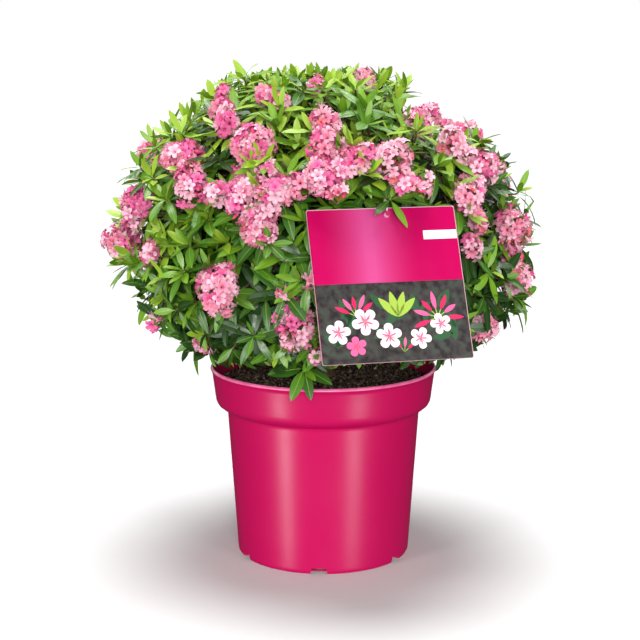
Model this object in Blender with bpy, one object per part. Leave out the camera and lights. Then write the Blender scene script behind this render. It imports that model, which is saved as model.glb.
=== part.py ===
"""A potted rhododendron in flower, with its nursery pot, its peat and its hanging care label.

Metres, +Z up, front towards -Y. The origin is the centre of the pot's flat underside.
The crown is one top mass, a ring of upper masses and a ring of lower masses, each on a bough
of its own, and every mass keeps to its own cone of the dome.
"""
import math
import random

import bpy
import bmesh
from mathutils import Matrix, Vector

# Pot, measured as radius and height pairs from the underside of the outside to the floor inside
POT_SEGMENTS = 42
POT_RADIUS = 0.115
POT_HEIGHT = 0.195
POT_OUTSIDE = [
    (0.0860, 0.0000), (0.0887, 0.0030), (0.0985, 0.1500), (0.1000, 0.1520),
    (0.1080, 0.1575), (0.1105, 0.1630), (0.1145, 0.1930), (POT_RADIUS, POT_HEIGHT),
]
POT_INSIDE = [
    (0.1128, POT_HEIGHT), (0.1082, 0.1630), (0.1058, 0.1590), (0.0975, 0.1545),
    (0.0963, 0.1500), (0.0867, 0.0050), (0.0845, 0.0030),
]
NOTCH_COUNT = 6
NOTCH_FIRST_DEG = -3.0
NOTCH_WIDE = 0.0180
NOTCH_NARROW = 0.0145
NOTCH_HEIGHT = 0.0065
NOTCH_INNER = 0.078
NOTCH_OUTER = 0.100

# Peat, 0.4 mm inside the pot all round
PEAT_SECTION = [
    (0.0840, 0.0035), (0.0862, 0.0054), (0.0958, 0.1502), (0.0968, 0.1550),
    (0.1050, 0.1597), (0.1077, 0.1634), (0.1098, 0.1780), (0.0900, 0.1815), (0.0550, 0.1835),
]
PEAT_TOP = 0.1845
PEAT_FLAT_RADIUS = 0.024

# Clearances between separate solids
JOINT_GAP = 0.0004
WALL_GAP = 0.0014
WELD = 0.000001

# Trunk
TRUNK_SIDES = 10
TRUNK_FOOT = PEAT_TOP + JOINT_GAP
TRUNK_RINGS = [
    (0.000, 0.0155), (0.003, 0.0125), (0.008, 0.0102), (0.016, 0.0092), (0.026, 0.0086), (0.036, 0.0074),
]
TRUNK_LEAN = (0.06, -0.03)

# Crown, a dome that is widest at CENTRE_HEIGHT
CENTRE_HEIGHT = 0.325
CROWN_RADIUS = 0.224
CROWN_RISE = 0.176
CROWN_DROP = 0.131
RISE_POWER = 2.5
DROP_POWER = 2.8
LOWEST_LEAF = 0.1966
UPPER_COUNT = 5
UPPER_ELEVATION = 35.0
UPPER_FIRST_DEG = 15.0
LOWER_COUNT = 6
LOWER_ELEVATION = -18.0
LOWER_FIRST_DEG = 0.0

# Boughs
BOUGH_SIDES = 5
BOUGH_STEPS = 4
BOUGH_THICK = 0.0030
BOUGH_THIN = 0.0022
BOUGH_REACH = 0.082
LOWER_BOUGH_HEIGHT = 0.0150
UPPER_BOUGH_HEIGHT = 0.0270

# Core of a mass: its outer face as a share of the dome, its gap to its cone's walls and to its bough
CORE_OUTER = 0.78
LOWER_CORE_OUTER = 0.72
CORE_WALL_GAP = 0.002
CORE_LIMB_GAP = 0.014

# Twigs, leaves and flower heads
SEED = 421
TIP_COUNT = 92
TIP_SHARE = (0.77, 0.90)
TIP_WALL_GAP = 0.012
TWIG_THICK = 0.0017
TWIG_THIN = 0.0011
LEAF_LENGTH = 0.052
LEAF_WIDTH = 0.0190
LEAF_THICK = 0.0020
LEAVES_PER_TIP = 5
BUD_LENGTH = 0.0075
BUD_RADIUS = 0.0033
HEAD_SHARE = 0.90
HIDDEN_HEAD_CHANCE = 0.42
# Flower heads seen from the front: degrees round from the front, height, radius
HEADS = [
    (-63, 0.369, 0.019), (-73, 0.329, 0.022), (-47, 0.415, 0.020), (-38, 0.392, 0.018),
    (-22, 0.428, 0.021), (-22, 0.384, 0.019), (-12, 0.392, 0.017), (-16, 0.357, 0.015),
    (-28, 0.301, 0.023), (-8, 0.271, 0.020), (0, 0.449, 0.014), (0, 0.428, 0.016),
    (-1, 0.401, 0.017), (10, 0.418, 0.016), (19, 0.416, 0.021), (24, 0.391, 0.016),
    (48, 0.460, 0.014), (39, 0.480, 0.014), (-20, 0.466, 0.011), (-36, 0.446, 0.012),
    (44, 0.428, 0.015), (52, 0.406, 0.019), (42, 0.382, 0.016), (61, 0.346, 0.019),
    (66, 0.296, 0.018), (57, 0.254, 0.015), (-52, 0.231, 0.011),
]

# Hanging label: a thin plate that leans out at its foot, turned a little to the right
LABEL_CENTRE = (0.0577, -0.2050, 0.3112)
LABEL_WIDTH = 0.136
LABEL_HEIGHT = 0.141
LABEL_THICK = 0.0010
LABEL_LEAN_DEG = -26.0
LABEL_ROLL_DEG = -0.4
LABEL_YAW_DEG = 12.8
LABEL_HOLE_ACROSS = 0.0050
LABEL_HOLE_DOWN = 0.0066
LABEL_HOLE_RADIUS = 0.0025
LABEL_CLEAR = 0.0012
LOOP_WIRE = 0.0006
LOOP_HALF_HEIGHT = 0.0068
LOOP_HALF_DEPTH = 0.0040
LOOP_RISE = 0.0015
LOOP_TWIG_RISE = 0.0042


def clear_scene():
    """Remove every object of the start-up scene."""
    for found in list(bpy.data.objects):
        bpy.data.objects.remove(found, do_unlink=True)


def make_material(name, colour, roughness):
    """A plain Principled material."""
    made = bpy.data.materials.new(name)
    made.use_nodes = True
    shader = made.node_tree.nodes["Principled BSDF"]
    shader.inputs["Base Color"].default_value = (*colour, 1.0)
    shader.inputs["Roughness"].default_value = roughness
    return made


def make_object(name, points, faces, material):
    """A mesh object in the scene from points and faces."""
    mesh = bpy.data.meshes.new(name)
    mesh.from_pydata([tuple(p) for p in points], [], faces)
    mesh.materials.append(material)
    made = bpy.data.objects.new(name, mesh)
    bpy.context.scene.collection.objects.link(made)
    return made


def tidy_shell(made, keep_largest=False):
    """Turn every face outward and, for a joined mass, keep its one outer shell."""
    mesh = bmesh.new()
    mesh.from_mesh(made.data)
    if keep_largest:
        bmesh.ops.triangulate(mesh, faces=mesh.faces)
        bmesh.ops.remove_doubles(mesh, verts=mesh.verts, dist=WELD)
        bmesh.ops.dissolve_degenerate(mesh, edges=mesh.edges, dist=WELD / 2.0)
        left = set(mesh.faces)
        shells = []
        while left:
            start = left.pop()
            shell = [start]
            queue = [start]
            while queue:
                face = queue.pop()
                for edge in face.edges:
                    if len(edge.link_faces) != 2:
                        continue
                    for other in edge.link_faces:
                        if other in left:
                            left.remove(other)
                            shell.append(other)
                            queue.append(other)
            shells.append(shell)
        shells.sort(key=len)
        spare = [face for shell in shells[:-1] for face in shell]
        bmesh.ops.delete(mesh, geom=spare, context="FACES")
        loose = [vert for vert in mesh.verts if not vert.link_faces]
        bmesh.ops.delete(mesh, geom=loose, context="VERTS")
        open_edges = sum(1 for edge in mesh.edges if len(edge.link_faces) != 2)
        print("%s: %d scraps dropped, %d open edges" % (made.name, len(shells) - 1, open_edges))
    else:
        bmesh.ops.recalc_face_normals(mesh, faces=mesh.faces)
    mesh.to_mesh(made.data)
    mesh.free()


def apply_modifiers(made):
    """Apply all modifiers of an object."""
    bpy.ops.object.select_all(action="DESELECT")
    made.select_set(True)
    bpy.context.view_layer.objects.active = made
    for modifier in list(made.modifiers):
        bpy.ops.object.modifier_apply(modifier=modifier.name)


def revolve(name, section, material):
    """Turn a section of radius and height pairs once round the upright axis."""
    points = []
    faces = []
    rings = len(section)
    for step in range(POT_SEGMENTS):
        turn = 2.0 * math.pi * (step + 0.5) / POT_SEGMENTS
        for radius, height in section:
            points.append((radius * math.sin(turn), -radius * math.cos(turn), height))
    foot = len(points)
    points.append((0.0, 0.0, section[0][1]))
    crown = len(points)
    points.append((0.0, 0.0, section[-1][1]))
    for step in range(POT_SEGMENTS):
        here = step * rings
        there = ((step + 1) % POT_SEGMENTS) * rings
        for ring in range(rings - 1):
            faces.append((here + ring, there + ring, there + ring + 1, here + ring + 1))
        faces.append((foot, there, here))
        faces.append((crown, here + rings - 1, there + rings - 1))
    made = make_object(name, points, faces, material)
    tidy_shell(made)
    return made


def cut_or_join(made, others, operation, solver):
    """One Boolean with a whole collection, applied, and the collection's objects removed."""
    group = bpy.data.collections.new(made.name + "_group")
    bpy.context.scene.collection.children.link(group)
    for other in others:
        for owner in list(other.users_collection):
            owner.objects.unlink(other)
        group.objects.link(other)
        other.hide_render = True
        other.display_type = "WIRE"
    boolean = made.modifiers.new("join", "BOOLEAN")
    boolean.operation = operation
    boolean.operand_type = "COLLECTION"
    boolean.collection = group
    boolean.solver = solver
    apply_modifiers(made)
    for other in list(group.objects):
        bpy.data.objects.remove(other, do_unlink=True)
    bpy.data.collections.remove(group)


def build_pot():
    """The pot: a tapered wall with a wide collar, drain notches round its foot."""
    pink = make_material("pot_pink", (0.66, 0.002, 0.112), 0.30)
    pot = revolve("pot", POT_OUTSIDE + POT_INSIDE, pink)
    cutters = []
    for count in range(NOTCH_COUNT):
        turn = math.radians(NOTCH_FIRST_DEG + 360.0 / NOTCH_COUNT * count)
        out = Vector((math.sin(turn), -math.cos(turn), 0.0))
        side = Vector((math.cos(turn), math.sin(turn), 0.0))
        slope = (NOTCH_WIDE - NOTCH_NARROW) / 2.0 / NOTCH_HEIGHT
        points = []
        for reach in (NOTCH_INNER, NOTCH_OUTER):
            for height, half in ((-0.002, NOTCH_WIDE / 2.0 + 0.002 * slope), (NOTCH_HEIGHT, NOTCH_NARROW / 2.0)):
                for sign in (-1.0, 1.0):
                    points.append(out * reach + side * sign * half + Vector((0.0, 0.0, height)))
        faces = [(0, 1, 3, 2), (4, 6, 7, 5), (0, 4, 5, 1), (2, 3, 7, 6), (0, 2, 6, 4), (1, 5, 7, 3)]
        cutter = make_object("notch_cutter_%d" % count, points, faces, pink)
        tidy_shell(cutter)
        cutters.append(cutter)
    cut_or_join(pot, cutters, "DIFFERENCE", "EXACT")
    tidy_shell(pot)
    return pot


def build_peat():
    """The peat that fills the pot to a finger's breadth under its rim, flat where the trunk stands."""
    dark = make_material("peat_brown", (0.018, 0.011, 0.007), 0.95)
    return revolve("peat", PEAT_SECTION + [(PEAT_FLAT_RADIUS, PEAT_TOP)], dark)


def aim(azimuth_deg, elevation_deg):
    """The unit direction that is so many degrees round from the front and up from level."""
    turn = math.radians(azimuth_deg)
    lift = math.radians(elevation_deg)
    return Vector((math.sin(turn) * math.cos(lift), -math.cos(turn) * math.cos(lift), math.sin(lift)))


def side_frame(direction):
    """Two directions square to a direction and to each other."""
    spare = Vector((0.0, 0.0, 1.0)) if abs(direction.z) < 0.9 else Vector((1.0, 0.0, 0.0))
    first = direction.cross(spare).normalized()
    return first, direction.cross(first).normalized()


def loft(name, rings, material):
    """A closed limb through rings, each a centre, a facing direction, a radius and a corner rule."""
    points = []
    faces = []
    sides = len(rings[0])
    for ring in rings:
        points.extend(ring)
    for row in range(len(rings) - 1):
        for corner in range(sides):
            near = row * sides + corner
            next_near = row * sides + (corner + 1) % sides
            faces.append((near, next_near, next_near + sides, near + sides))
    faces.append(tuple(range(sides)))
    faces.append(tuple(range((len(rings) - 1) * sides, len(rings) * sides)))
    made = make_object(name, points, faces, material)
    tidy_shell(made)
    return made


def trunk_centre(height):
    """The trunk's middle at a height over its foot."""
    return Vector((TRUNK_LEAN[0] * height, TRUNK_LEAN[1] * height, TRUNK_FOOT + height))


def trunk_radius(height):
    """The trunk's radius at a height over its foot."""
    for (low, wide), (high, narrow) in zip(TRUNK_RINGS, TRUNK_RINGS[1:]):
        if height <= high:
            share = (height - low) / (high - low)
            return wide + (narrow - wide) * share
    return TRUNK_RINGS[-1][1]


def trunk_ring(height):
    """The trunk's corners at a height over its foot, swelling in three roots near the foot."""
    centre = trunk_centre(height)
    radius = trunk_radius(height)
    flare = max(0.0, radius - 0.0092)
    ring = []
    for corner in range(TRUNK_SIDES):
        turn = 2.0 * math.pi * corner / TRUNK_SIDES
        reach = radius + flare * 0.35 * math.cos(3.0 * turn + 0.6)
        ring.append(centre + Vector((math.cos(turn) * reach, math.sin(turn) * reach, 0.0)))
    return ring


def build_trunk(bark):
    """The short stem: level foot with root flare, slight lean, level top at the fork."""
    return loft("trunk", [trunk_ring(height) for height, radius in TRUNK_RINGS], bark)


CENTRE = Vector((0.0, 0.0, CENTRE_HEIGHT))


def mass_list():
    """Names and directions of the crown's masses."""
    masses = [("foliage_top", aim(0.0, 90.0))]
    for count in range(UPPER_COUNT):
        turn = UPPER_FIRST_DEG + 360.0 / UPPER_COUNT * count
        masses.append(("foliage_upper_%d" % (count + 1), aim(turn, UPPER_ELEVATION)))
    for count in range(LOWER_COUNT):
        turn = LOWER_FIRST_DEG + 360.0 / LOWER_COUNT * count
        masses.append(("foliage_lower_%d" % (count + 1), aim(turn, LOWER_ELEVATION)))
    return masses


MASSES = mass_list()


def owner_of(point):
    """The number of the mass whose cone holds a point."""
    offset = point - CENTRE
    return max(range(len(MASSES)), key=lambda number: offset.dot(MASSES[number][1]))


def in_cone(point, number, gap):
    """Whether a point lies in a mass's cone, so far from its walls."""
    offset = point - CENTRE
    own = MASSES[number][1]
    for other, (name, direction) in enumerate(MASSES):
        if other != number:
            wall = own - direction
            if offset.dot(wall) < gap * wall.length:
                return False
    return True


def dome_share(point):
    """How far out a point lies: 1 on the dome, 0 at its centre."""
    offset = point - CENTRE
    across = math.hypot(offset.x, offset.y) / CROWN_RADIUS
    upright = offset.z / CROWN_RISE if offset.z > 0.0 else -offset.z / CROWN_DROP
    power = RISE_POWER if offset.z > 0.0 else DROP_POWER
    return (across ** power + upright ** power) ** (1.0 / power)


def dome_point(direction, share):
    """The point in a direction from the centre that lies so far out."""
    return CENTRE + direction * (share / dome_share(CENTRE + direction))


def dome_ring_point(azimuth_deg, height, share):
    """The point at an azimuth and a height that lies so far out."""
    offset = height - CENTRE_HEIGHT
    upright = offset / CROWN_RISE if offset > 0.0 else -offset / CROWN_DROP
    power = RISE_POWER if offset > 0.0 else DROP_POWER
    left = max(0.0, share ** power - upright ** power)
    across = CROWN_RADIUS * left ** (1.0 / power)
    turn = math.radians(azimuth_deg)
    return Vector((math.sin(turn) * across, -math.cos(turn) * across, height))


def dome_normal(point):
    """The direction square to the dome at a point."""
    step = 0.0005
    slope = []
    for axis in range(3):
        shift = Vector((0.0, 0.0, 0.0))
        shift[axis] = step
        slope.append(dome_share(point + shift) - dome_share(point - shift))
    return Vector(slope).normalized()


def label_matrix():
    """The label's place: local X across, local Y back, local Z up."""
    turn = Matrix.Rotation(math.radians(LABEL_YAW_DEG), 4, "Z")
    lean = Matrix.Rotation(math.radians(LABEL_LEAN_DEG), 4, "X")
    roll = Matrix.Rotation(math.radians(LABEL_ROLL_DEG), 4, "Y")
    return Matrix.Translation(Vector(LABEL_CENTRE)) @ turn @ lean @ roll


LABEL = label_matrix()
LABEL_BACK = LABEL.inverted()
LOOP_MIDDLE = Vector((LABEL_HOLE_ACROSS, 0.0, LABEL_HEIGHT / 2.0 + LOOP_RISE))


def clear_of_label(points):
    """Whether a closed piece lies wholly behind, before or beside the label."""
    local = [LABEL_BACK @ p for p in points]
    half = LABEL_THICK / 2.0 + LABEL_CLEAR
    wide = LABEL_WIDTH / 2.0 + LABEL_CLEAR
    tall = LABEL_HEIGHT / 2.0 + LABEL_CLEAR
    return (
        all(p.y > half for p in local) or all(p.y < -half for p in local)
        or all(p.x > wide for p in local) or all(p.x < -wide for p in local)
        or all(p.z > tall for p in local) or all(p.z < -tall for p in local)
    )


def distance_to_line(point, start, end):
    """Shortest distance from a point to a straight piece of limb."""
    along = end - start
    share = max(0.0, min(1.0, (point - start).dot(along) / along.length_squared))
    return (point - start - along * share).length


def bough_path(number):
    """The line of a mass's bough, its first facing direction, and the point it ends on."""
    name, direction = MASSES[number]
    tip = CENTRE + direction * BOUGH_REACH
    if number == 0:
        start = trunk_centre(TRUNK_RINGS[-1][0]) + Vector((0.0, 0.0, JOINT_GAP))
        facing = Vector((0.0, 0.0, 1.0))
    else:
        height = UPPER_BOUGH_HEIGHT if number <= UPPER_COUNT else LOWER_BOUGH_HEIGHT
        facing = Vector((direction.x, direction.y, 0.0)).normalized()
        # the trunk's furthest corner this way over the height that the bough's foot covers
        middle = trunk_centre(height)
        wide = max((corner - middle).dot(facing) for corner in trunk_ring(height - BOUGH_THICK))
        start = middle + facing * (wide + JOINT_GAP)
    bend = start + (facing * 0.6 + Vector((0.0, 0.0, 0.8))) * (tip - start).length * 0.45
    path = []
    for step in range(BOUGH_STEPS + 1):
        share = step / BOUGH_STEPS
        path.append(start * (1 - share) ** 2 + bend * 2 * share * (1 - share) + tip * share ** 2)
    return path, facing


BOUGH_PATHS = [bough_path(number) for number in range(len(MASSES))]


def build_bough(number, bark):
    """One tapering limb from beside the trunk to the foot of its mass."""
    path, facing = BOUGH_PATHS[number]
    rings = []
    first_side, second_side = side_frame(facing)
    last = facing
    for step, centre in enumerate(path):
        if step == 0:
            along = facing
        elif step == BOUGH_STEPS:
            along = (path[step] - path[step - 1]).normalized()
        else:
            along = (path[step + 1] - path[step - 1]).normalized()
        swing = last.rotation_difference(along)
        first_side = swing @ first_side
        second_side = swing @ second_side
        last = along
        radius = BOUGH_THICK + (BOUGH_THIN - BOUGH_THICK) * step / BOUGH_STEPS
        ring = []
        for corner in range(BOUGH_SIDES):
            turn = 2.0 * math.pi * corner / BOUGH_SIDES
            ring.append(centre + (first_side * math.cos(turn) + second_side * math.sin(turn)) * radius)
        rings.append(ring)
    name = MASSES[number][0].replace("foliage", "bough")
    return loft(name, rings, bark), last


def clear_of_limbs(points, gap):
    """Whether points stay away from the trunk and from every bough."""
    low = trunk_centre(0.0)
    high = trunk_centre(TRUNK_RINGS[-1][0])
    for point in points:
        if distance_to_line(point, low, high) < 0.016 + gap:
            return False
        for path, facing in BOUGH_PATHS:
            for start, end in zip(path, path[1:]):
                if distance_to_line(point, start, end) < BOUGH_THICK + gap:
                    return False
    return True


def fits(points, number, near_loop=False):
    """Whether a leaf, twig or flower head stays in its mass's space and clear of everything else."""
    for point in points:
        if point.z < LOWEST_LEAF or dome_share(point) > 1.0:
            return False
        if not in_cone(point, number, WALL_GAP / 2.0):
            return False
    if not near_loop:
        middle = LABEL @ LOOP_MIDDLE
        for point in points:
            if (point - middle).length < 0.0105:
                return False
    return clear_of_label(points) and clear_of_limbs(points, 0.0015)


def leaf_points(root, direction, face_up, length, width):
    """The six corners of a leaf: root, tip, two edges, upper and under side."""
    side = direction.cross(face_up).normalized()
    above = side.cross(direction).normalized()
    middle = root + direction * length * 0.46 + above * length * 0.05
    tip = root + direction * length - above * length * 0.04
    thick = above * LEAF_THICK / 2.0
    return [root, tip, middle + side * width / 2.0, middle - side * width / 2.0, middle + thick, middle - thick]


LEAF_FACES = [(0, 4, 2), (0, 3, 4), (0, 2, 5), (0, 5, 3), (1, 2, 4), (1, 4, 3), (1, 5, 2), (1, 3, 5)]


def prism_points(start, end, thick, thin):
    """The six corners of a three-sided twig."""
    along = (end - start).normalized()
    first_side, second_side = side_frame(along)
    points = []
    for centre, radius in ((start, thick), (end, thin)):
        for corner in range(3):
            turn = 2.0 * math.pi * corner / 3
            points.append(centre + (first_side * math.cos(turn) + second_side * math.sin(turn)) * radius)
    return points


PRISM_FACES = [(0, 1, 2), (3, 5, 4), (0, 3, 4, 1), (1, 4, 5, 2), (2, 5, 3, 0)]


def bud_points(centre, axis):
    """The six corners of a leaf bud at a twig's tip."""
    first_side, second_side = side_frame(axis)
    return [
        centre - axis * BUD_LENGTH / 2.0, centre + axis * BUD_LENGTH / 2.0,
        centre + first_side * BUD_RADIUS, centre - first_side * BUD_RADIUS,
        centre + second_side * BUD_RADIUS, centre - second_side * BUD_RADIUS,
    ]


def head_mesh(centre, axis, radius, roll):
    """Points and faces of a flower head: a ball whose petals stand out and whose throats sink in."""
    ball = bmesh.new()
    bmesh.ops.create_icosphere(ball, subdivisions=1, radius=1.0)
    throats = list(ball.verts)
    bmesh.ops.poke(ball, faces=list(ball.faces))
    ball.verts.index_update()
    swing = Vector((0.0, 0.0, 1.0)).rotation_difference(axis) @ Matrix.Rotation(roll, 3, "Z").to_quaternion()
    points = []
    for vert in ball.verts:
        reach = radius * (0.84 if vert in throats else 1.0)
        points.append(centre + (swing @ vert.co.normalized()) * reach)
    faces = [tuple(v.index for v in face.verts) for face in ball.faces]
    ball.free()
    return points, faces


def spread_tips():
    """Every twig tip: its place, its axis and the radius of its flower head or nothing."""
    chance = random.Random(SEED)
    tips = []
    for azimuth, height, radius in HEADS:
        place = dome_ring_point(azimuth, height, HEAD_SHARE - 0.3 * max(0.0, radius - 0.018) / 0.2)
        tips.append((place, radius))
    while len(tips) < TIP_COUNT:
        best = None
        best_gap = -1.0
        for attempt in range(90):
            lift = math.degrees(math.asin(chance.uniform(-0.80, 1.0)))
            direction = aim(chance.uniform(-180.0, 180.0), lift)
            place = dome_point(direction, chance.uniform(*TIP_SHARE))
            if place.z < LOWEST_LEAF + 0.012 or not in_cone(place, owner_of(place), TIP_WALL_GAP):
                continue
            gap = min((place - other[0]).length - (0.008 if other[1] else 0.0) for other in tips)
            if gap > best_gap:
                best_gap = gap
                best = place
        hidden = best.y > -0.02
        radius = chance.uniform(0.015, 0.021) if hidden and chance.random() < HIDDEN_HEAD_CHANCE else None
        tips.append((best, radius))
    return tips


def core_share(number):
    """How far out the dense inside of a mass reaches."""
    return CORE_OUTER if number <= UPPER_COUNT else LOWER_CORE_OUTER


def core_hull(number, leaf_green):
    """The dense inside of a mass: the hull of points on two shells of its cone."""
    direction = MASSES[number][1]
    first_side, second_side = side_frame(direction)
    outer = 12
    reach = core_share(number)
    nearest = BOUGH_REACH + CORE_LIMB_GAP
    points = [dome_point(direction, reach), CENTRE + direction * nearest]
    for count in range(outer):
        turn = 2.0 * math.pi * count / outer + 0.4
        side = first_side * math.cos(turn) + second_side * math.sin(turn)
        spread = 0.0
        for degrees in range(2, 60):
            lean = math.radians(degrees)
            trial = dome_point(direction * math.cos(lean) + side * math.sin(lean), reach)
            deep = (trial - CENTRE).dot(direction) < nearest
            if deep or trial.z < LOWEST_LEAF + 0.022 or not in_cone(trial, number, CORE_WALL_GAP):
                break
            spread = lean
        heading = direction * math.cos(spread) + side * math.sin(spread)
        points.append(dome_point(heading, reach))
        if count % 3 == 0:
            heading = direction * math.cos(spread * 0.8) + side * math.sin(spread * 0.8)
            points.append(CENTRE + heading * (nearest / math.cos(spread * 0.8)))
    mesh = bmesh.new()
    for point in points:
        mesh.verts.new(point)
    bmesh.ops.convex_hull(mesh, input=mesh.verts)
    spare = [vert for vert in mesh.verts if not vert.link_faces]
    bmesh.ops.delete(mesh, geom=spare, context="VERTS")
    data = bpy.data.meshes.new(MASSES[number][0])
    mesh.to_mesh(data)
    mesh.free()
    data.materials.append(leaf_green)
    made = bpy.data.objects.new(MASSES[number][0], data)
    bpy.context.scene.collection.objects.link(made)
    tidy_shell(made)
    return made


def whorl(pieces, number, centre, axis, chance, count, material, near_loop=False, head=False):
    """A ring of leaves round a twig's tip, each laid closer or made smaller until it fits."""
    first_side, second_side = side_frame(axis)
    start_turn = chance.uniform(0.0, 6.28)
    made = 0
    for leaf in range(count):
        turn = start_turn + 2.0 * math.pi * leaf / count + chance.uniform(-0.15, 0.15)
        side = first_side * math.cos(turn) + second_side * math.sin(turn)
        splay = math.radians(chance.uniform(58.0, 78.0) + (14.0 if head else 0.0))
        length = LEAF_LENGTH * chance.uniform(0.88, 1.06)
        for attempt in range(6):
            heading = axis * math.cos(splay) + side * math.sin(splay)
            droop = Vector((0.0, 0.0, -0.12))
            heading = (heading + droop).normalized()
            root = centre - heading * 0.001
            width = LEAF_WIDTH * length / LEAF_LENGTH
            points = leaf_points(root, heading, axis, length, width)
            outside = dome_share(points[1]) > core_share(number) + 0.05
            if outside and fits(points, number, near_loop):
                pieces.append(make_object("leaf", points, LEAF_FACES, material))
                made += 1
                break
            splay -= math.radians(11.0)
            length *= 0.90
    return made


def build_mass(number, tips, bark, leaf_green, blossom):
    """One mass: core, stem, twigs, buds, leaves and flower heads joined in a single shell."""
    chance = random.Random(SEED + 31 * number)
    name, direction = MASSES[number]
    core = core_hull(number, leaf_green)
    path, facing = BOUGH_PATHS[number]
    along = (path[-1] - path[-2]).normalized()
    start = path[-1] + along * JOINT_GAP
    middle = (CENTRE + direction * (BOUGH_REACH + CORE_LIMB_GAP) + dome_point(direction, core_share(number))) / 2.0
    pieces = []
    stem = prism_points(start, middle, TWIG_THICK * 1.35, TWIG_THICK)
    # the stem's foot lies square to the bough's end
    first_side, second_side = side_frame(along)
    for corner in range(3):
        turn = 2.0 * math.pi * corner / 3
        stem[corner] = start + (first_side * math.cos(turn) + second_side * math.sin(turn)) * TWIG_THICK * 1.35
    pieces.append(make_object("stem", stem, PRISM_FACES, bark))
    leaves = 0
    heads = 0
    for place, axis, radius, near_loop, root in tips:
        twig = prism_points(root if root else middle, place, TWIG_THICK, TWIG_THIN)
        if not fits(twig[3:], number, near_loop):
            continue
        pieces.append(make_object("twig", twig, PRISM_FACES, bark))
        if radius:
            points, faces = head_mesh(place, axis, radius, chance.uniform(0.0, 6.28))
            while not fits(points, number, near_loop) and radius > 0.008:
                radius *= 0.9
                points, faces = head_mesh(place, axis, radius, 0.0)
            if radius > 0.008:
                pieces.append(make_object("head", points, faces, blossom))
                heads += 1
            base = place - axis * radius * 0.70
            leaves += whorl(pieces, number, base, axis, chance, LEAVES_PER_TIP - 1, leaf_green, near_loop, True)
        else:
            points = bud_points(place, axis)
            pieces.append(make_object("bud", points, LEAF_FACES, leaf_green))
            leaves += whorl(pieces, number, place, axis, chance, LEAVES_PER_TIP, leaf_green, near_loop)
    for piece in pieces:
        tidy_shell(piece)
    cut_or_join(core, pieces, "UNION", "MANIFOLD")
    tidy_shell(core, keep_largest=True)
    triangles = sum(len(face.vertices) - 2 for face in core.data.polygons)
    print("%s: %d leaves, %d heads, %d triangles" % (name, leaves, heads, triangles))
    return leaves, triangles


def build_label():
    """The hanging label: a plate with a punched hole near its top edge."""
    pink = make_material("label_pink", (0.72, 0.0, 0.145), 0.35)
    half = Vector((LABEL_WIDTH / 2.0, LABEL_THICK / 2.0, LABEL_HEIGHT / 2.0))
    points = []
    for x in (-1.0, 1.0):
        for y in (-1.0, 1.0):
            for z in (-1.0, 1.0):
                points.append((x * half.x, y * half.y, z * half.z))
    faces = [(0, 1, 3, 2), (4, 6, 7, 5), (0, 4, 5, 1), (2, 3, 7, 6), (0, 2, 6, 4), (1, 5, 7, 3)]
    label = make_object("label", points, faces, pink)
    tidy_shell(label)
    bpy.ops.mesh.primitive_cylinder_add(vertices=16, radius=LABEL_HOLE_RADIUS, depth=0.01)
    cutter = bpy.context.object
    cutter.name = "label_hole_cutter"
    cutter.data.transform(Matrix.Rotation(math.radians(90.0), 4, "X"))
    cutter.data.transform(Matrix.Translation((LABEL_HOLE_ACROSS, 0.0, half.z - LABEL_HOLE_DOWN)))
    cut_or_join(label, [cutter], "DIFFERENCE", "EXACT")
    label.data.transform(LABEL)
    tidy_shell(label)
    return label


def build_loop():
    """The loop that runs through the label's hole and over its twig."""
    clear = make_material("loop_clear_white", (0.80, 0.80, 0.78), 0.25)
    points = []
    faces = []
    around = 16
    sides = 4
    for step in range(around):
        turn = 2.0 * math.pi * step / around
        centre = LOOP_MIDDLE + Vector((0.0, LOOP_HALF_DEPTH * math.sin(turn), LOOP_HALF_HEIGHT * math.cos(turn)))
        out = Vector((0.0, math.sin(turn) / LOOP_HALF_DEPTH, math.cos(turn) / LOOP_HALF_HEIGHT)).normalized()
        for corner in range(sides):
            spin = 2.0 * math.pi * corner / sides
            offset = (out * math.cos(spin) + Vector((1.0, 0.0, 0.0)) * math.sin(spin)) * LOOP_WIRE
            points.append(LABEL @ (centre + offset))
    for step in range(around):
        for corner in range(sides):
            here = step * sides
            there = ((step + 1) % around) * sides
            after = (corner + 1) % sides
            faces.append((here + corner, here + after, there + after, there + corner))
    made = make_object("label_loop", points, faces, clear)
    tidy_shell(made)
    return made


def build_crown(bark):
    """Boughs and masses of the crown."""
    leaf_green = make_material("leaf_green", (0.065, 0.165, 0.022), 0.35)
    blossom = make_material("blossom_pink", (0.90, 0.28, 0.46), 0.50)
    groups = [[] for mass in MASSES]
    for place, radius in spread_tips():
        number = owner_of(place)
        normal = dome_normal(place)
        axis = (normal * 0.85 + Vector((0.0, 0.0, 0.35))).normalized()
        groups[number].append((place, axis, radius, False, None))
    # the twig that the label hangs on runs over the label's top edge, its leaves before it
    over = LABEL @ (LOOP_MIDDLE + Vector((0.0, 0.0, LOOP_TWIG_RISE)))
    run = (LABEL.to_3x3() @ Vector((0.80, -0.55, 0.22))).normalized()
    number = owner_of(over)
    tip = over + run * 0.014
    axis = (run + Vector((0.0, 0.0, 0.5))).normalized()
    groups[number].append((tip, axis, None, True, over - run * 0.050))
    leaves = 0
    triangles = 0
    for number in range(len(MASSES)):
        build_bough(number, bark)
        made, faces = build_mass(number, groups[number], bark, leaf_green, blossom)
        leaves += made
        triangles += faces
    print("crown: %d leaves, %d triangles" % (leaves, triangles))


clear_scene()
bark = make_material("bark_brown", (0.12, 0.07, 0.04), 0.85)
build_pot()
build_peat()
build_trunk(bark)
build_crown(bark)
build_label()
build_loop()
total = 0
for found in bpy.data.objects:
    total += sum(len(face.vertices) - 2 for face in found.data.polygons)
print("%d objects, %d triangles" % (len(bpy.data.objects), total))
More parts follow.
